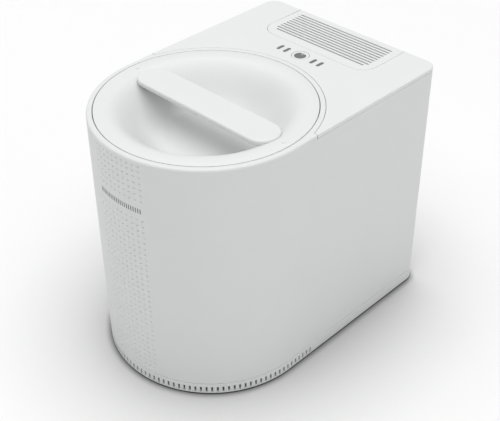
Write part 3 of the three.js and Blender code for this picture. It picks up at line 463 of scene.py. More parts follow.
def dimpled_strip():
    """The nose's middle: cells with a small round dimple in each."""
    shape = Body()
    half = DIMPLE["pitch_u"] / 2
    around = 16
    on_wall = lambda u, z, depth=0.0: (*wall_point(u, depth), z)
    for low, middle, high, dimpled in dimple_rows():
        for column in range(DIMPLE["columns"]):
            u = (column - (DIMPLE["columns"] - 1) / 2) * DIMPLE["pitch_u"]
            edge = [(u + half, middle), (u + half, high), (u, high), (u - half, high),
                    (u - half, middle), (u - half, low), (u, low), (u + half, low)]
            points = [on_wall(*p) for p in edge]
            if not dimpled:
                shape.add([*points, on_wall(u, middle)], [(k, (k + 1) % 8, 8) for k in range(8)])
                continue
            faces = []
            for share, sink in DIMPLE_SIDE:
                for j in range(around):
                    a = 2 * math.pi * j / around
                    radius = DIMPLE["radius"] * share
                    points.append(on_wall(u + radius * math.cos(a), middle + radius * math.sin(a),
                                          DIMPLE["depth"] * sink))
            for k in range(8):
                ring = [8 + (2 * k + d) % around for d in (2, 1, 0)]
                faces.append((k, (k + 1) % 8, *ring))
            for ring in range(len(DIMPLE_SIDE) - 1):
                a = 8 + ring * around
                b = a + around
                faces += [(a + j, a + (j + 1) % around, b + (j + 1) % around, b + j) for j in range(around)]
            points.append(on_wall(u, middle, DIMPLE["depth"]))
            last = 8 + (len(DIMPLE_SIDE) - 1) * around
            faces += [(last + j, last + (j + 1) % around, len(points) - 1) for j in range(around)]
            shape.add(points, faces)
    return shape


def shell_wall():
    """The upright wall, open at the back for the rear panel."""
    shape = dimpled_strip()
    strip = DIMPLE["columns"] * DIMPLE["pitch_u"] / 2
    rows = dimple_rows()
    levels = sorted({z for low, middle, high, _ in rows for z in (low, middle, high)})
    low, high = levels[0], levels[-1]
    right = half_stations(strip, 34) + [HALF_LOOP - PANEL_HALF]
    strip_stations = spaced(-strip, strip, 2 * DIMPLE["columns"])
    stations = [-u for u in reversed(right)] + strip_stations[1:-1] + right
    deck_from = NOSE_ARC + DECK_FRONT - AXIS_Y
    rounding = lambda u: WALL_EDGE if abs(u) > deck_from + 0.01 else 0.0
    on_wall = lambda u, inset, z: (*wall_point(u, inset), z)
    for side in (-1, 1):
        near = [on_wall(side * strip, 0, z) for z in levels]
        far = [on_wall(side * right[1], rounding(right[1]), high), on_wall(side * right[1], 0, low)]
        shape.add(near + far, [tuple(range(len(near) + 2))])
        for a, b in zip(right[1:], right[2:]):
            top = high - WALL_EDGE
            ends = [(side * a, rounding(a)), (side * b, rounding(b))]
            mid = [on_wall(u, 0, top if inset else high) for u, inset in ends]
            foot = [on_wall(side * a, 0, low), on_wall(side * b, 0, low)]
            shape.add([*foot, mid[1], mid[0]], [(0, 1, 2, 3)])
            if rounding(a) or rounding(b):
                crest = [on_wall(u, inset, high) for u, inset in ends]
                shape.add([mid[0], mid[1], crest[1], crest[0]], [(0, 1, 2, 3)])
    outer_low = [on_wall(u, 0, low) for u in stations]
    outer_foot = [on_wall(u, WALL_EDGE, SHELL_BOTTOM) for u in stations]
    inner_foot = [on_wall(u, WALL, SHELL_BOTTOM) for u in stations]
    inner_top = [on_wall(u, WALL, high) for u in stations]
    outer_top = [on_wall(u, rounding(u), high) for u in stations]
    count = len(stations)
    lines = [outer_low, outer_foot, inner_foot, inner_top, outer_top]
    for a, b in zip(lines, lines[1:]):
        shape.add(a + b, [(i, i + 1, count + i + 1, count + i) for i in range(count - 1)])
    for i in (0, -1):
        end = [line[i] for line in lines]
        shape.add([*end, on_wall(stations[i], 0, high - WALL_EDGE)], [(0, 1, 2, 3, 4, 5)])
    return shape


def front_rim():
    """The top of the nose and the ring round the lid, in one piece with a full round shoulder."""
    side = RADIUS - SKIN
    notch = math.degrees(math.asin((DECK_FRONT - AXIS_Y) / COLLAR_RADIUS))
    back = arc(0, AXIS_Y, COLLAR_RADIUS, notch, 180 - notch, 110)
    nose = arc(0, AXIS_Y, side, 180, 360, 120)
    corner = 0.8
    start = [(side, AXIS_Y + 12), (side, DECK_FRONT - corner), (side - corner, DECK_FRONT)]
    end = [(corner - side, DECK_FRONT), (-side, DECK_FRONT - corner), (-side, AXIS_Y + 12)]
    outer = start + back + end + nose
    radii = [SHOULDER_RADIUS, 1.2, 0.8] + [0.7] * len(back) + [0.8, 1.2, SHOULDER_RADIUS]
    radii += [SHOULDER_RADIUS] * len(nose)
    return plate(outer, [circle(BORE_RADIUS, 0, AXIS_Y, SEGMENTS)], RIM_BOTTOM, TOP, top=radii, bottom=0.0,
                 hole_top=0.7, steps=8)


def collar_throat():
    """The bore under the rim, its shelf, and the three catches that hold the lid's lugs."""
    shelf_low = node_box("well_liner")[1].z + GAP
    shelf_high = shelf_low + THROAT["shelf"]
    profile = [(BORE_RADIUS, RIM_BOTTOM), (BORE_RADIUS, shelf_high), (THROAT["inner"], shelf_high),
               (THROAT["inner"], shelf_low), (THROAT["outer"], shelf_low), (THROAT["outer"], RIM_BOTTOM)]
    shape = turned(profile, 0, AXIS_Y)
    for angle in LUG["angles"]:
        locked = angle + LID_TURN
        shape.merge(sector(CATCH["inner"], CATCH["root"], locked, LUG["spread"], CATCH["low"], CATCH["high"]))
    return shape


def sector(inner, outer, middle, spread, low, high):
    """Part of a ring about the lid's axis, with softened edges."""
    loop = (arc(0, AXIS_Y, outer, middle - spread / 2, middle + spread / 2, 10)
            + arc(0, AXIS_Y, inner, middle + spread / 2, middle - spread / 2, 10))
    return plate(loop, [], low, high, top=0.4, bottom=0.4, steps=3)


def dome(radius, height, x, y, z, segments=32):
    """A low button-shaped bump."""
    profile = [(0, z - 0.3), (radius, z - 0.3)]
    for k in range(6):
        angle = math.radians(15 * k)
        profile.append((radius * math.cos(angle), z + height * math.sin(angle)))
    return turned(profile + [(0, z + height)], x, y, segments)


def front_mark():
    """A plain row of upright bars where a maker would print a name."""
    shape = Body()
    low, high = FRONT_MARK["low"], FRONT_MARK["high"]
    half, tip = FRONT_MARK["half"], FRONT_MARK["half"] * 0.55
    rows = [(low, tip), (low + 0.5, half), (high - 0.5, half), (high, tip)]
    for u in spaced(-FRONT_MARK["reach"], FRONT_MARK["reach"], FRONT_MARK["bars"] - 1):
        front, back = [], []
        for z, w in rows:
            front.append([(*wall_point(u + side * w, -FRONT_MARK["raised"]), z) for side in (-1, 1)])
            back.append([(*wall_point(u + side * w, FRONT_MARK["sunk"]), z) for side in (-1, 1)])
        points = [p for pair in front for p in pair] + [p for pair in back for p in pair]
        faces = []
        for r in range(3):
            a = 2 * r
            faces += [(a, a + 1, a + 3, a + 2), (8 + a, 8 + a + 1, 8 + a + 3, 8 + a + 2)]
            faces += [(a, a + 2, 8 + a + 2, 8 + a), (a + 1, a + 3, 8 + a + 3, 8 + a + 1)]
        faces += [(0, 1, 9, 8), (6, 7, 15, 14)]
        shape.add(points, faces)
    return shape


def build_shell():
    wall = shell_wall()
    wall.merge(front_rim())
    wall.merge(collar_throat())
    make("shell_skin", wall, SHELL_WHITE, "housing", "shell_white", "outer_shell")
    make("front_mark", front_mark(), MARK_GREY, "housing", "indicator_grey")
    x, y = about_axis(COLLAR_MARK["distance"], 180 + LID_TURN)
    mark = dome(COLLAR_MARK["radius"], COLLAR_MARK["height"], x, y, TOP - 0.05)
    make("collar_mark", mark, SHELL_WHITE, "housing", "shell_white")


# ------------------------------------------------------------------ deck, cover and rear panel

COVER_HALF = node_box("filter_cover")[1].x
COVER_FRONT = node_box("filter_cover")[0].y
COVER_CORNER = 22
COVER_SLOTS = {"count": 10, "back": 178.3, "pitch": 5.5, "half_width": 1.25, "half": 73.0, "front_half": 69.5}
BUTTON = {"y": 96.0, "radius": 10.6, "gap": 0.45, "stem": 3, "flange": 12.6, "flange_low": 312.7,
          "flange_high": 314.6, "dish": 7.6}
LENS = {"half_x": 2.0, "half_y": 6.0, "gap": 0.25, "depth": 8}
FAN_VENTS = {"rows": range(-3, 4), "pitch": 7, "half": 24, "half_width": 1.6}
UPPER_VENTS = {"rows": range(3), "pitch": 5, "half": 17, "half_width": 1.3, "low": 181}
INLET_HOLE = {"half_x": 14.3, "half_z": 10.3}
SCREW_HOLE = 4.1
SCREW_PROFILE = [(0, -0.9), (1.5, -0.9), (1.7, -0.25), (2.9, -0.3), (3.5, -0.7), (3.6, -1.4), (1.4, -1.6),
                 (1.4, -11), (0, -11)]


def deck_outline():
    """(points, edge radii) of the rear deck, with the bay for the filter cover cut into its back edge."""
    side = RADIUS - SKIN
    back = BACK - SKIN
    gap = COLLAR_RADIUS + 0.4
    front = DECK_FRONT + GAP
    notch = math.degrees(math.asin((front - AXIS_Y) / gap))
    soft, crisp = 1.6, 0.4
    half = COVER_HALF + GAP
    bay_front = COVER_FRONT - GAP
    reach = CORNER_RADIUS - SKIN
    runs = [
        ([(side, front), (side, front + 4)], [crisp, soft]),
        (arc(HALF_BACK, BACK - CORNER_RADIUS, reach, 0, 90, 12), soft),
        ([(half + 3, back), (half, back)], [soft, crisp]),
        (arc(half - COVER_CORNER, bay_front + COVER_CORNER, COVER_CORNER, 0, -90, 12), crisp),
        (arc(COVER_CORNER - half, bay_front + COVER_CORNER, COVER_CORNER, 270, 180, 12), crisp),
        ([(-half, back), (-half - 3, back)], [crisp, soft]),
        (arc(-HALF_BACK, BACK - CORNER_RADIUS, reach, 90, 180, 12), soft),
        ([(-side, front + 4), (-side, front)], [soft, crisp]),
        (arc(0, AXIS_Y, gap, 180 - notch, notch, 110), 0.6),
    ]
    points, radii = [], []
    for run, radius in runs:
        points += run
        radii += radius if isinstance(radius, list) else [radius] * len(run)
    return points, radii


def build_deck():
    points, radii = deck_outline()
    lenses = numbered_middles("indicator")
    holes = [circle(BUTTON["radius"] + BUTTON["gap"], 0, BUTTON["y"], 72)]
    for place in lenses:
        holes.append(stadium(LENS["half_x"] + LENS["gap"], LENS["half_y"] + LENS["gap"], place.x, place.y))
    panel = plate(points, holes, DECK_BOTTOM, TOP, top=radii, bottom=0.3, hole_top=0.25)
    make("deck_panel", panel, DECK_WHITE, "housing", "deck_white", "top_deck")
    for i, place in enumerate(lenses, 1):
        outline = stadium(LENS["half_x"], LENS["half_y"], place.x, place.y)
        lens = plate(outline, [], TOP - LENS["depth"], TOP - 0.02, top=0.2, bottom=0.2)
        make(f"indicator_lens_{i}", lens, LENS_GREY, "housing", "indicator_grey", f"indicator_{i}")


def build_cover():
    back = BACK - SKIN
    points = (arc(COVER_CORNER - COVER_HALF, COVER_FRONT + COVER_CORNER, COVER_CORNER, 180, 270, 12)
              + arc(COVER_HALF - COVER_CORNER, COVER_FRONT + COVER_CORNER, COVER_CORNER, 270, 360, 12)
              + [(COVER_HALF, back), (-COVER_HALF, back)])
    radii = [0.4] * (len(points) - 2) + [1.6, 1.6]
    holes = []
    for i in range(COVER_SLOTS["count"]):
        half = COVER_SLOTS["front_half"] if i == COVER_SLOTS["count"] - 1 else COVER_SLOTS["half"]
        y = COVER_SLOTS["back"] - i * COVER_SLOTS["pitch"]
        holes.append(stadium(half, COVER_SLOTS["half_width"], 0, y, 6))
    grille = plate(points, holes, DECK_BOTTOM, TOP, top=radii, bottom=0.3, hole_top=0.3, steps=3)
    make("cover_grille", grille, DECK_WHITE, "filter_cover", "deck_white", "filter_cover")


def upright(shape, x, y, z):
    """Stands a flat plate up so that its top faces +Y."""
    turn = Matrix.Translation((x, y, z)) @ Matrix.Rotation(math.radians(-90), 4, "X")
    placed = Body()
    return placed.merge(shape, turn)


def vents(rows, pitch, half, half_width, x, low):
    """Level slots in the rear panel's own plan, where Y points down."""
    return [stadium(half, half_width, x, -(low + pitch * row), 8) for row in rows]


def build_rear_panel():
    low, high = node_box("rear_panel")
    middle = (low.z + high.z) / 2
    fan = node_middle("fan_rotor")
    inlet = node_middle("mains_inlet")
    screws = numbered_middles("rear_panel_screw")
    holes = vents(FAN_VENTS["rows"], FAN_VENTS["pitch"], FAN_VENTS["half"], FAN_VENTS["half_width"],
                  fan.x, fan.z - middle)
    holes += vents(UPPER_VENTS["rows"], UPPER_VENTS["pitch"], UPPER_VENTS["half"], UPPER_VENTS["half_width"],
                   0, UPPER_VENTS["low"] - middle)
    holes.append(rectangle(inlet.x, -(inlet.z - middle), INLET_HOLE["half_x"], INLET_HOLE["half_z"], 1.2))
    holes += [circle(SCREW_HOLE, s.x, -(s.z - middle), 32) for s in screws]
    outline = rectangle(0, 0, high.x, (high.z - low.z) / 2, 2.0, 6)
    thick = high.y - SKIN - low.y
    sheet = plate(outline, holes, 0, thick, top=0.6, bottom=0.2, hole_top=0.3, steps=3)
    sheet = upright(sheet, 0, low.y, middle)
    make("rear_panel_skin", sheet, PANEL_WHITE, "housing", "base_grey", "rear_panel")
    for i, s in enumerate(screws, 1):
        screw = upright(turned(SCREW_PROFILE, segments=40), s.x, high.y, s.z)
        make(f"panel_screw_{i}", screw, STEEL, "housing", "steel_grey", f"rear_panel_screw_{i}")


# ------------------------------------------------------------------ base skirt and feet

SKIRT = {"wall": 2.5, "floor": 3.5, "edge": 0.35, "top": SHELL_BOTTOM - 0.35}
SKIRT_SLOT = {"low": 3.4, "high": 11.4, "half": 1.2, "around_nose": 62, "past_nose": 45}
# Sizes of the dark ring under the skirt that is painted shade: its outer and inner insets from the wall, and
# its gap to floor and skirt.
SHADOW_STRIP = {"outer": 0.35, "inner": 5.5, "gap": 0.1}
FOOT_HOLE = 3.9
FOOT_PROFILE = [(0, 0), (8.6, 0), (9.6, 0.3), (9.9, 0.8), (9.9, 1.2), (3.5, 1.2), (3.5, 3.9), (4.9, 3.9),
                (4.2, 5.9), (0, 6.2)]


def skirt_slots():
    """The middle of each slot on one side, measured along the wall from the nose's front."""
    pitch = 2 * NOSE_ARC / SKIRT_SLOT["around_nose"]
    count = int((NOSE_ARC + SKIRT_SLOT["past_nose"]) / pitch)
    return [(i + 0.5) * pitch for i in range(count)]


def skirt_stations(slots):
    """Places all round the wall: both sides of every slot, the back corners, and the middles."""
    cuts = []
    for middle in slots:
        cuts += [middle - SKIRT_SLOT["half"], middle + SKIRT_SLOT["half"]]
    corner_start = NOSE_ARC + STRAIGHT
    half = [0.0] + cuts + spaced(corner_start, corner_start + CORNER_ARC, 8) + [HALF_LOOP]
    return [-u for u in reversed(half[1:])] + half[:-1]


def skirt_wall(slots, stations):
    """The slotted skirt: one grid outside and one inside, joined at every edge and slot."""
    edge = SKIRT["edge"]
    rows = [BASE_BOTTOM, BASE_BOTTOM + edge, SKIRT_SLOT["low"], SKIRT_SLOT["high"], SKIRT["top"] - edge,
            SKIRT["top"]]
    insets = [edge, 0, 0, 0, 0, edge]

    def is_slot(a, b):
        """Whether two neighbouring stations are the two sides of one slot."""
        middle = (abs(a) + abs(b)) / 2
        return any(abs(middle - m) < 0.01 for m in slots) and abs(abs(a) - abs(b)) < 3

    count = len(stations)
    points = []
    for u in stations:
        points += [(*wall_point(u, inset), z) for z, inset in zip(rows, insets)]
        points += [(*wall_point(u, SKIRT["wall"]), z) for z in rows]
    stride = 2 * len(rows)
    faces = []
    for i in range(count):
        j = (i + 1) % count
        slotted = j != 0 and is_slot(stations[i], stations[j])
        for r in range(len(rows) - 1):
            a, b = i * stride + r, j * stride + r
            n = len(rows)
            if slotted and r == 2:
                faces += [(a, b, b + n, a + n), (a + 1, b + 1, b + 1 + n, a + 1 + n)]
                faces += [(a, a + 1, a + 1 + n, a + n), (b, b + 1, b + 1 + n, b + n)]
            else:
                faces += [(a, b, b + 1, a + 1), (a + n, b + n, b + 1 + n, a + 1 + n)]
        for r in (0, len(rows) - 1):
            a, b = i * stride + r, j * stride + r
            faces.append((a, b, b + len(rows), a + len(rows)))
    return Body().add(points, faces)


def build_base():
    slots = skirt_slots()
    stations = skirt_stations(slots)
    feet = numbered_middles("rubber_foot")
    shape = skirt_wall(slots, stations)
    floor_line = [wall_point(u, SKIRT["wall"] + 0.02) for u in stations]
    holes = [circle(FOOT_HOLE, place.x, place.y, 24) for place in feet]
    square = {"top": 0.0, "bottom": 0.0, "hole_top": 0.0, "steps": 1}
    shape.merge(plate(floor_line, holes, BASE_BOTTOM, SKIRT["floor"], **square))
    make("base_skirt", shape, BASE_WHITE, "housing", "base_grey", "base_pan")
    # Painted shade: a dark ring in the gap between the skirt and the floor stands for the shadow there; it
    # takes the rubber finish but is no rubber part.
    gap = SHADOW_STRIP["gap"]
    outside = [wall_point(u, SHADOW_STRIP["outer"]) for u in stations]
    inside = [wall_point(u, SHADOW_STRIP["inner"]) for u in stations]
    strip = plate(outside, [inside], gap, BASE_BOTTOM - gap, top=0.1, bottom=0.1, hole_top=0.1, steps=1)
    make("base_edge_strip", strip, RUBBER, "housing", "rubber_dark")
    for i, place in enumerate(feet, 1):
        pad = turned(FOOT_PROFILE, place.x, place.y, 48)
        make(f"foot_pad_{i}", pad, RUBBER, "housing", "rubber_dark", f"rubber_foot_{i}")


# ------------------------------------------------------------------ lid and handle

BOWL = {"flat": 112.0, "floor": 52.0, "depth": 42.0, "thick": 3.0}
LID_SKIRT = {"inner": 114.5, "outer": 117.5, "low": 303, "high": 316.5}
PIVOT_BOSS = {"bore": 5.1, "radius": 9, "low": 269.1, "high": 276.5}
HANDLE = {"half_length": 105.5, "half_width": 20.8, "low": 314.7, "high": node_box("lid_handle")[1].z}
NUB = {"distance": 115.5, "radius": 2.1, "height": 0.8}


def lid_height(radius):
    """The lid's upper face: a flat rim that rolls into a bowl."""
    share = min(max((radius - BOWL["floor"]) / (BOWL["flat"] - BOWL["floor"]), 0), 1)
    return TOP - BOWL["depth"] / 2 * (1 + math.cos(math.pi * share))


def build_lid():
    radii = spaced(BOWL["floor"], BOWL["flat"], 36)
    face = [(r, lid_height(r)) for r in reversed(radii)]
    under = [(r, lid_height(r) - BOWL["thick"]) for r in radii]
    edge = LID_RADIUS - SKIN / 2
    inner, outer = LID_SKIRT["inner"], LID_SKIRT["outer"]
    low, high = LID_SKIRT["low"], LID_SKIRT["high"]
    soft = 0.3
    rim = [(inner, high), (inner, low + soft), (inner + soft, low), (outer - soft, low), (outer, low + soft),
           (outer, high), (edge - soft, high), (edge, high + soft), (edge, TOP - 0.6),
           (edge - 0.18, TOP - 0.18), (edge - 0.6, TOP)]
    profile = [(0, under[0][1]), *under, *rim, *face, (0, face[-1][1])]
    shape = turned(profile, 0, AXIS_Y)
    bore, radius = PIVOT_BOSS["bore"], PIVOT_BOSS["radius"]
    boss = [(bore, PIVOT_BOSS["low"]), (radius, PIVOT_BOSS["low"]), (radius, PIVOT_BOSS["high"]),
            (bore, PIVOT_BOSS["high"])]
    shape.merge(turned(rounded(boss, 0.5), 0, AXIS_Y, 48))
    for angle in LUG["angles"]:
        shape.merge(sector(LUG["inner"], LUG["outer"], angle, LUG["spread"], LUG["low"], LUG["high"]))
    make("lid_dish", shape, LID_WHITE, "lid", "lid_white", "lid")
    radius, height = NUB["radius"], NUB["height"]
    profile = [(0, TOP - 0.3), (radius, TOP - 0.3), (radius, TOP + 0.3), (radius - 0.15, TOP + height - 0.2),
               (radius - 0.6, TOP + height - 0.02), (0, TOP + height)]
    for name, side in (("lid_nub_left", -1), ("lid_nub_right", 1)):
        nub = turned(profile, side * NUB["distance"], AXIS_Y, 32)
        make(name, nub, LID_WHITE, "lid", "lid_white")


def build_handle():
    outline = stadium(HANDLE["half_length"], HANDLE["half_width"], 0, AXIS_Y, 40)
    bar = plate(outline, [], HANDLE["low"], HANDLE["high"], top=2.5, bottom=1.5, steps=8)
    make("handle_bridge", bar, LID_WHITE, "lid", "lid_white", "lid_handle")


# ------------------------------------------------------------------ power button

GLYPH = {"radius": 7.3, "notch": 22, "bar_half": 2.4, "bar_half_width": 0.75, "low": TOP - 0.6,
         "high": TOP - 0.28}


def build_button():
    low = node_box("power_button")[0].z
    y, cap, stem, flange = BUTTON["y"], BUTTON["radius"], BUTTON["stem"], BUTTON["flange"]
    profile = [(0, low), (stem, low), (stem, BUTTON["flange_low"]), (flange, BUTTON["flange_low"]),
               (flange, BUTTON["flange_high"]), (cap, BUTTON["flange_high"]), (cap, TOP - 0.7),
               (cap - 0.2, TOP - 0.25), (cap - 0.7, TOP - 0.05), (cap - 1.2, TOP - 0.1),
               (BUTTON["dish"], TOP - 0.38), (0, TOP - 0.42)]
    make("button_cap", turned(profile, 0, y, 96), DECK_WHITE, "power_button", "deck_white", "power_button")
    notch = GLYPH["notch"]
    disc = arc(0, y - 0.5, GLYPH["radius"], 90 + notch, 450 - notch, 60) + [(0, y + 0.9)]
    bar = stadium(GLYPH["bar_half_width"], GLYPH["bar_half"], 0, y + 4.6, 6)
    glyph = Body()
    for loop in (disc, bar):
        glyph.merge(plate(loop, [], GLYPH["low"], GLYPH["high"], top=0.08, bottom=0.0, steps=2))
    make("power_glyph", glyph, MARK_GREY, "power_button", "indicator_grey")


# ------------------------------------------------------------------ bucket, well and other inner pieces

BUCKET = {"bore": 8.2, "hub": 11.5, "hub_top": 142, "floor": 134, "foot": 86.5, "neck": 88.5, "flange": 96,
          "flange_low": 258, "inner_foot": 84, "inner_top": 86}
BUCKET_RIB = {"angles": (30, 150, 270), "inner": 79.8, "outer": 85, "half": 2, "low": 140, "high": 205}
BUCKET_EAR = {"angles": (0, 180), "inner": 95, "outer": 100.5, "spread": 30}
INNER_PLATE = {"thick": 2.5, "pin": 4.7, "holes": 6, "hole": 4, "hole_distance": 60}
GASKET_RING = {"inner": 88.5, "outer": 95.5}
LINER = {"bore": 10, "inner": 102, "outer": 103.5, "flange": 118, "thick": 3}
HEATER = {"inner": 14, "outer": 96, "groove_depth": 0.5}


def build_bucket():
    low, high = node_box("bucket")
    profile = [(BUCKET["bore"], low.z), (BUCKET["foot"], low.z), (BUCKET["neck"], BUCKET["flange_low"]),
               (BUCKET["flange"], BUCKET["flange_low"]), (BUCKET["flange"], high.z),
               (BUCKET["inner_top"], high.z), (BUCKET["inner_foot"], BUCKET["floor"]),
               (BUCKET["hub"], BUCKET["floor"]), (BUCKET["hub"], BUCKET["hub_top"]),
               (BUCKET["bore"], BUCKET["hub_top"])]
    shape = turned(rounded(profile, 1.6), 0, AXIS_Y)
    half = BUCKET_RIB["half"]
    rib = brick(BUCKET_RIB["inner"], BUCKET_RIB["outer"], -half, half,
                BUCKET_RIB["low"], BUCKET_RIB["high"], 1.4)
    for angle in BUCKET_RIB["angles"]:
        shape.merge(rib, Matrix.Translation((0, AXIS_Y, 0)) @ Matrix.Rotation(math.radians(angle), 4, "Z"))
    for angle in BUCKET_EAR["angles"]:
        shape.merge(sector(BUCKET_EAR["inner"], BUCKET_EAR["outer"], angle, BUCKET_EAR["spread"],
                           BUCKET["flange_low"] + 0.2, high.z - 0.2))
    make("bucket_pail", shape, BUCKET_METAL, "bucket", "bucket_metal", "bucket")


def build_inner_lid():
    low, high = node_box("lid_inner_plate")
    outline = circle(high.x, 0, AXIS_Y, SEGMENTS)
    holes = []
    for i in range(INNER_PLATE["holes"]):
        x, y = about_axis(INNER_PLATE["hole_distance"], 360 / INNER_PLATE["holes"] * i)
        holes.append(circle(INNER_PLATE["hole"], x, y, 32))
    face = low.z + INNER_PLATE["thick"]
    shape = plate(outline, holes, low.z, face, top=0.8, bottom=0.8)
    pin = INNER_PLATE["pin"]
    profile = [(0, face - 0.2), (pin, face - 0.2), (pin, high.z - 0.8), (pin - 0.7, high.z), (0, high.z)]
    shape.merge(turned(profile, 0, AXIS_Y, 48))
    make("inner_plate_skin", shape, GREY, "inner_lid", "grey_plastic", "lid_inner_plate")
    low, high = node_box("lid_gasket")
    inner, outer = GASKET_RING["inner"], GASKET_RING["outer"]
    ring = rounded([(inner, low.z), (outer, low.z), (outer, high.z), (inner, high.z)], 1.3)
    make("gasket_ring", turned(ring, 0, AXIS_Y), GASKET, "inner_lid", "gasket_grey", "lid_gasket")


def build_well():
    low, high = node_box("well_liner")
    bore, inner, outer, flange = LINER["bore"], LINER["inner"], LINER["outer"], LINER["flange"]
    thick = LINER["thick"]
    profile = [(bore, low.z), (outer, low.z), (outer, high.z - thick), (flange, high.z - thick),
               (flange, high.z), (inner, high.z), (inner, low.z + thick), (bore, low.z + thick)]
    liner = turned(rounded(profile, 1.0), 0, AXIS_Y)
    make("well_liner_skin", liner, STEEL, "housing", "steel_grey", "well_liner")
    low, high = node_box("heater_plate")
    inner, outer = HEATER["inner"], HEATER["outer"]
    top = high.z
    groove = top - HEATER["groove_depth"]
    profile = [(inner, low.z), (outer, low.z), (outer, top - 0.8), (outer - 0.8, top)]
    for r in range(90, 18, -8):
        profile += [(r + 1, top), (r + 0.7, groove), (r - 0.7, groove), (r - 1, top)]
    profile += [(inner + 0.8, top), (inner, top - 0.8)]
    make("heater_plate_skin", turned(profile, 0, AXIS_Y), COATED, "housing", "bucket_metal", "heater_plate")


BEVELS = {0.5: ("agitator", "filter_cassette", "filter_bay", "mains_inlet", "exhaust_duct"),
          0.3: ("main_gear", "compound_gear", "motor_pinion", "fan_frame", "gearbox_lower_plate",
                "gearbox_upper_plate", "power_board", "control_board", "blower_housing", "carbon_block")}
FINISHES = {
    "lid_magnet": STEEL, "bucket_bush": BRONZE, "agitator": STEEL, "agitator_shaft": STEEL,
    "insulation_sleeve": FELT, "shaft_seal": RUBBER, "thermistor": BRONZE, "gearbox_lower_plate": STEEL,
    "gearbox_upper_plate": STEEL, "main_gear": NYLON, "main_shaft": STEEL, "main_bush_lower": BRONZE,
    "main_bush_upper": BRONZE, "compound_gear": NYLON, "layshaft_pin": STEEL, "motor_housing": MOTOR_STEEL,
    "motor_armature": MOTOR_STEEL, "motor_pinion": BRONZE, "exhaust_duct": GREY, "filter_bay": GREY,
    "filter_cassette": DARK, "carbon_block": CARBON, "filter_seal": RUBBER, "blower_housing": DARK,
    "blower_wheel": DARK, "blower_motor": MOTOR_STEEL, "fan_frame": DARK, "fan_rotor": DARK,
    "tact_switch": DARK, "control_board": BOARD, "reed_switch": DARK, "power_board": BOARD,
    "mains_inlet": DARK,
}


def finish_cad_nodes():
    """Gives each CAD piece that stays in view its own finish and softened edges."""
    for name, material in FINISHES.items():
        piece = frame["nodes"][name]
        piece.data.materials.clear()
        piece.data.materials.append(material)
    for width, names in BEVELS.items():
        for name in names:
            bevel = frame["nodes"][name].modifiers.new("soft_edges", "BEVEL")
            bevel.width = width * MM
            bevel.segments = 2
            bevel.limit_method = "ANGLE"
            bevel.angle_limit = math.radians(40)


# ------------------------------------------------------------------ camera, floor and lights

def build_camera():
    """The viewpoint: right of the nose and above it, a little rolled."""
    right = Vector((0.7140377, 0.70007439, -0.00678354))
    up = Vector((-0.41321562, 0.42923945, 0.80312288))
    place = Vector((0.703483, -0.701549, 0.878665))
    back = right.cross(up)
    turn = Matrix((right, up, back)).transposed().to_4x4()
    data = bpy.data.cameras.new("camera")
    data.lens = 71.884
    data.sensor_width = 36
    camera = bpy.data.objects.new("camera", data)
    camera.matrix_world = Matrix.Translation(place) @ turn
    bpy.context.scene.collection.objects.link(camera)
    bpy.context.scene.camera = camera


# dark is the floor's colour in the deepest painted shadow, right next to the object.
FLOOR = {"albedo": 0.74, "dark": 0.08, "half_size": 30.0}


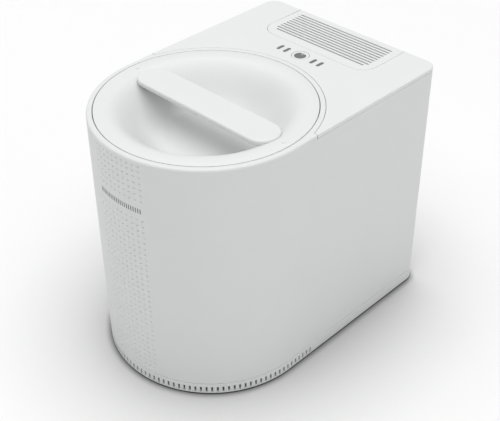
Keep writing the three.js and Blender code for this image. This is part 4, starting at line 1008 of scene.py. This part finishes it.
def build_floor():
    """A plain pale floor with a painted shadow: its colour darkens where the object stands close over it."""
    albedo, dark = FLOOR["albedo"], FLOOR["dark"]
    material = shaded("floor_pale", (albedo, albedo, albedo), 0.5, mottle=0.0, grain=0.0)
    tree = material.node_tree
    # Painted shadow: a wide ambient-occlusion reading darkens the floor's base colour in a soft halo round
    # the object.
    shade_probe_wide = node(tree, "ShaderNodeAmbientOcclusion", Distance=0.16)
    painted_shadow_ramp = node(tree, "ShaderNodeValToRGB")
    stops = painted_shadow_ramp.color_ramp.elements
    for position, value in ((0.52, 0.46), (0.64, 0.56), (0.80, 0.66)):
        stops.new(position).color = (value, value, value, 1)
    stops[0].position = 0.36
    stops[0].color = (dark, dark, dark, 1)
    stops[-1].color = (albedo, albedo, albedo, 1)
    tree.links.new(shade_probe_wide.outputs["AO"], painted_shadow_ramp.inputs["Fac"])
    # A second, short-range painted shadow, darkest right against the object's edges.
    shade_probe_near = node(tree, "ShaderNodeAmbientOcclusion", Distance=0.009)
    depth = node(tree, "ShaderNodeMapRange")
    depth.inputs["From Min"].default_value = 0.4
    depth.inputs["To Min"].default_value = 0.25
    tree.links.new(shade_probe_near.outputs["AO"], depth.inputs["Value"])
    shadowed_colour = node(tree, "ShaderNodeMath", operation="MULTIPLY")
    tree.links.new(painted_shadow_ramp.outputs["Color"], shadowed_colour.inputs[0])
    tree.links.new(depth.outputs["Result"], shadowed_colour.inputs[1])
    tree.links.new(shadowed_colour.outputs["Value"], tree.nodes["Principled BSDF"].inputs["Base Color"])
    mesh = bpy.data.meshes.new("floor")
    size = FLOOR["half_size"]
    corners = [(-size, -size, 0), (size, -size, 0), (size, size, 0), (-size, size, 0)]
    mesh.from_pydata(corners, [], [(0, 1, 2, 3)])
    mesh.materials.append(material)
    floor = bpy.data.objects.new("floor", mesh)
    bpy.context.scene.collection.objects.link(floor)


def sun(name, source, spread, strength):
    """A soft far light shining from the direction source towards the object."""
    data = bpy.data.lights.new(name, "SUN")
    data.angle = math.radians(spread)
    data.energy = strength
    light = bpy.data.objects.new(name, data)
    light.rotation_euler = (-Vector(source)).to_track_quat("-Z", "Y").to_euler()
    bpy.context.scene.collection.objects.link(light)


def build_lights():
    """A white room that is brightest near the floor, a wide soft light overhead and weak fills."""
    world = bpy.data.worlds.new("studio")
    world.use_nodes = True
    tree = world.node_tree
    place = node(tree, "ShaderNodeTexCoord")
    split = node(tree, "ShaderNodeSeparateXYZ")
    level = node(tree, "ShaderNodeMapRange")
    level.inputs["From Min"].default_value = 0.3
    level.inputs["From Max"].default_value = 0.55
    level.inputs["To Min"].default_value = 0.6
    level.inputs["To Max"].default_value = 0.5
    tree.links.new(place.outputs["Generated"], split.inputs["Vector"])
    tree.links.new(split.outputs["Z"], level.inputs["Value"])
    tree.links.new(level.outputs["Result"], tree.nodes["Background"].inputs["Strength"])
    tree.nodes["Background"].inputs["Color"].default_value = (1, 1, 1, 1)
    bpy.context.scene.world = world
    bpy.context.scene.view_settings.view_transform = "Standard"
    sun("overhead", (0.0, -0.05, 1.0), 84, 2.5)
    sun("right_fill", (1.0, 0.25, 0.12), 60, 0.4)
    sun("left_fill", (-1.0, 0.1, 0.12), 60, 0.25)


build_shell()
build_deck()
build_cover()
build_rear_panel()
build_base()
build_lid()
build_handle()
build_button()
build_bucket()
build_inner_lid()
build_well()
finish_cad_nodes()
build_camera()
build_floor()
build_lights()
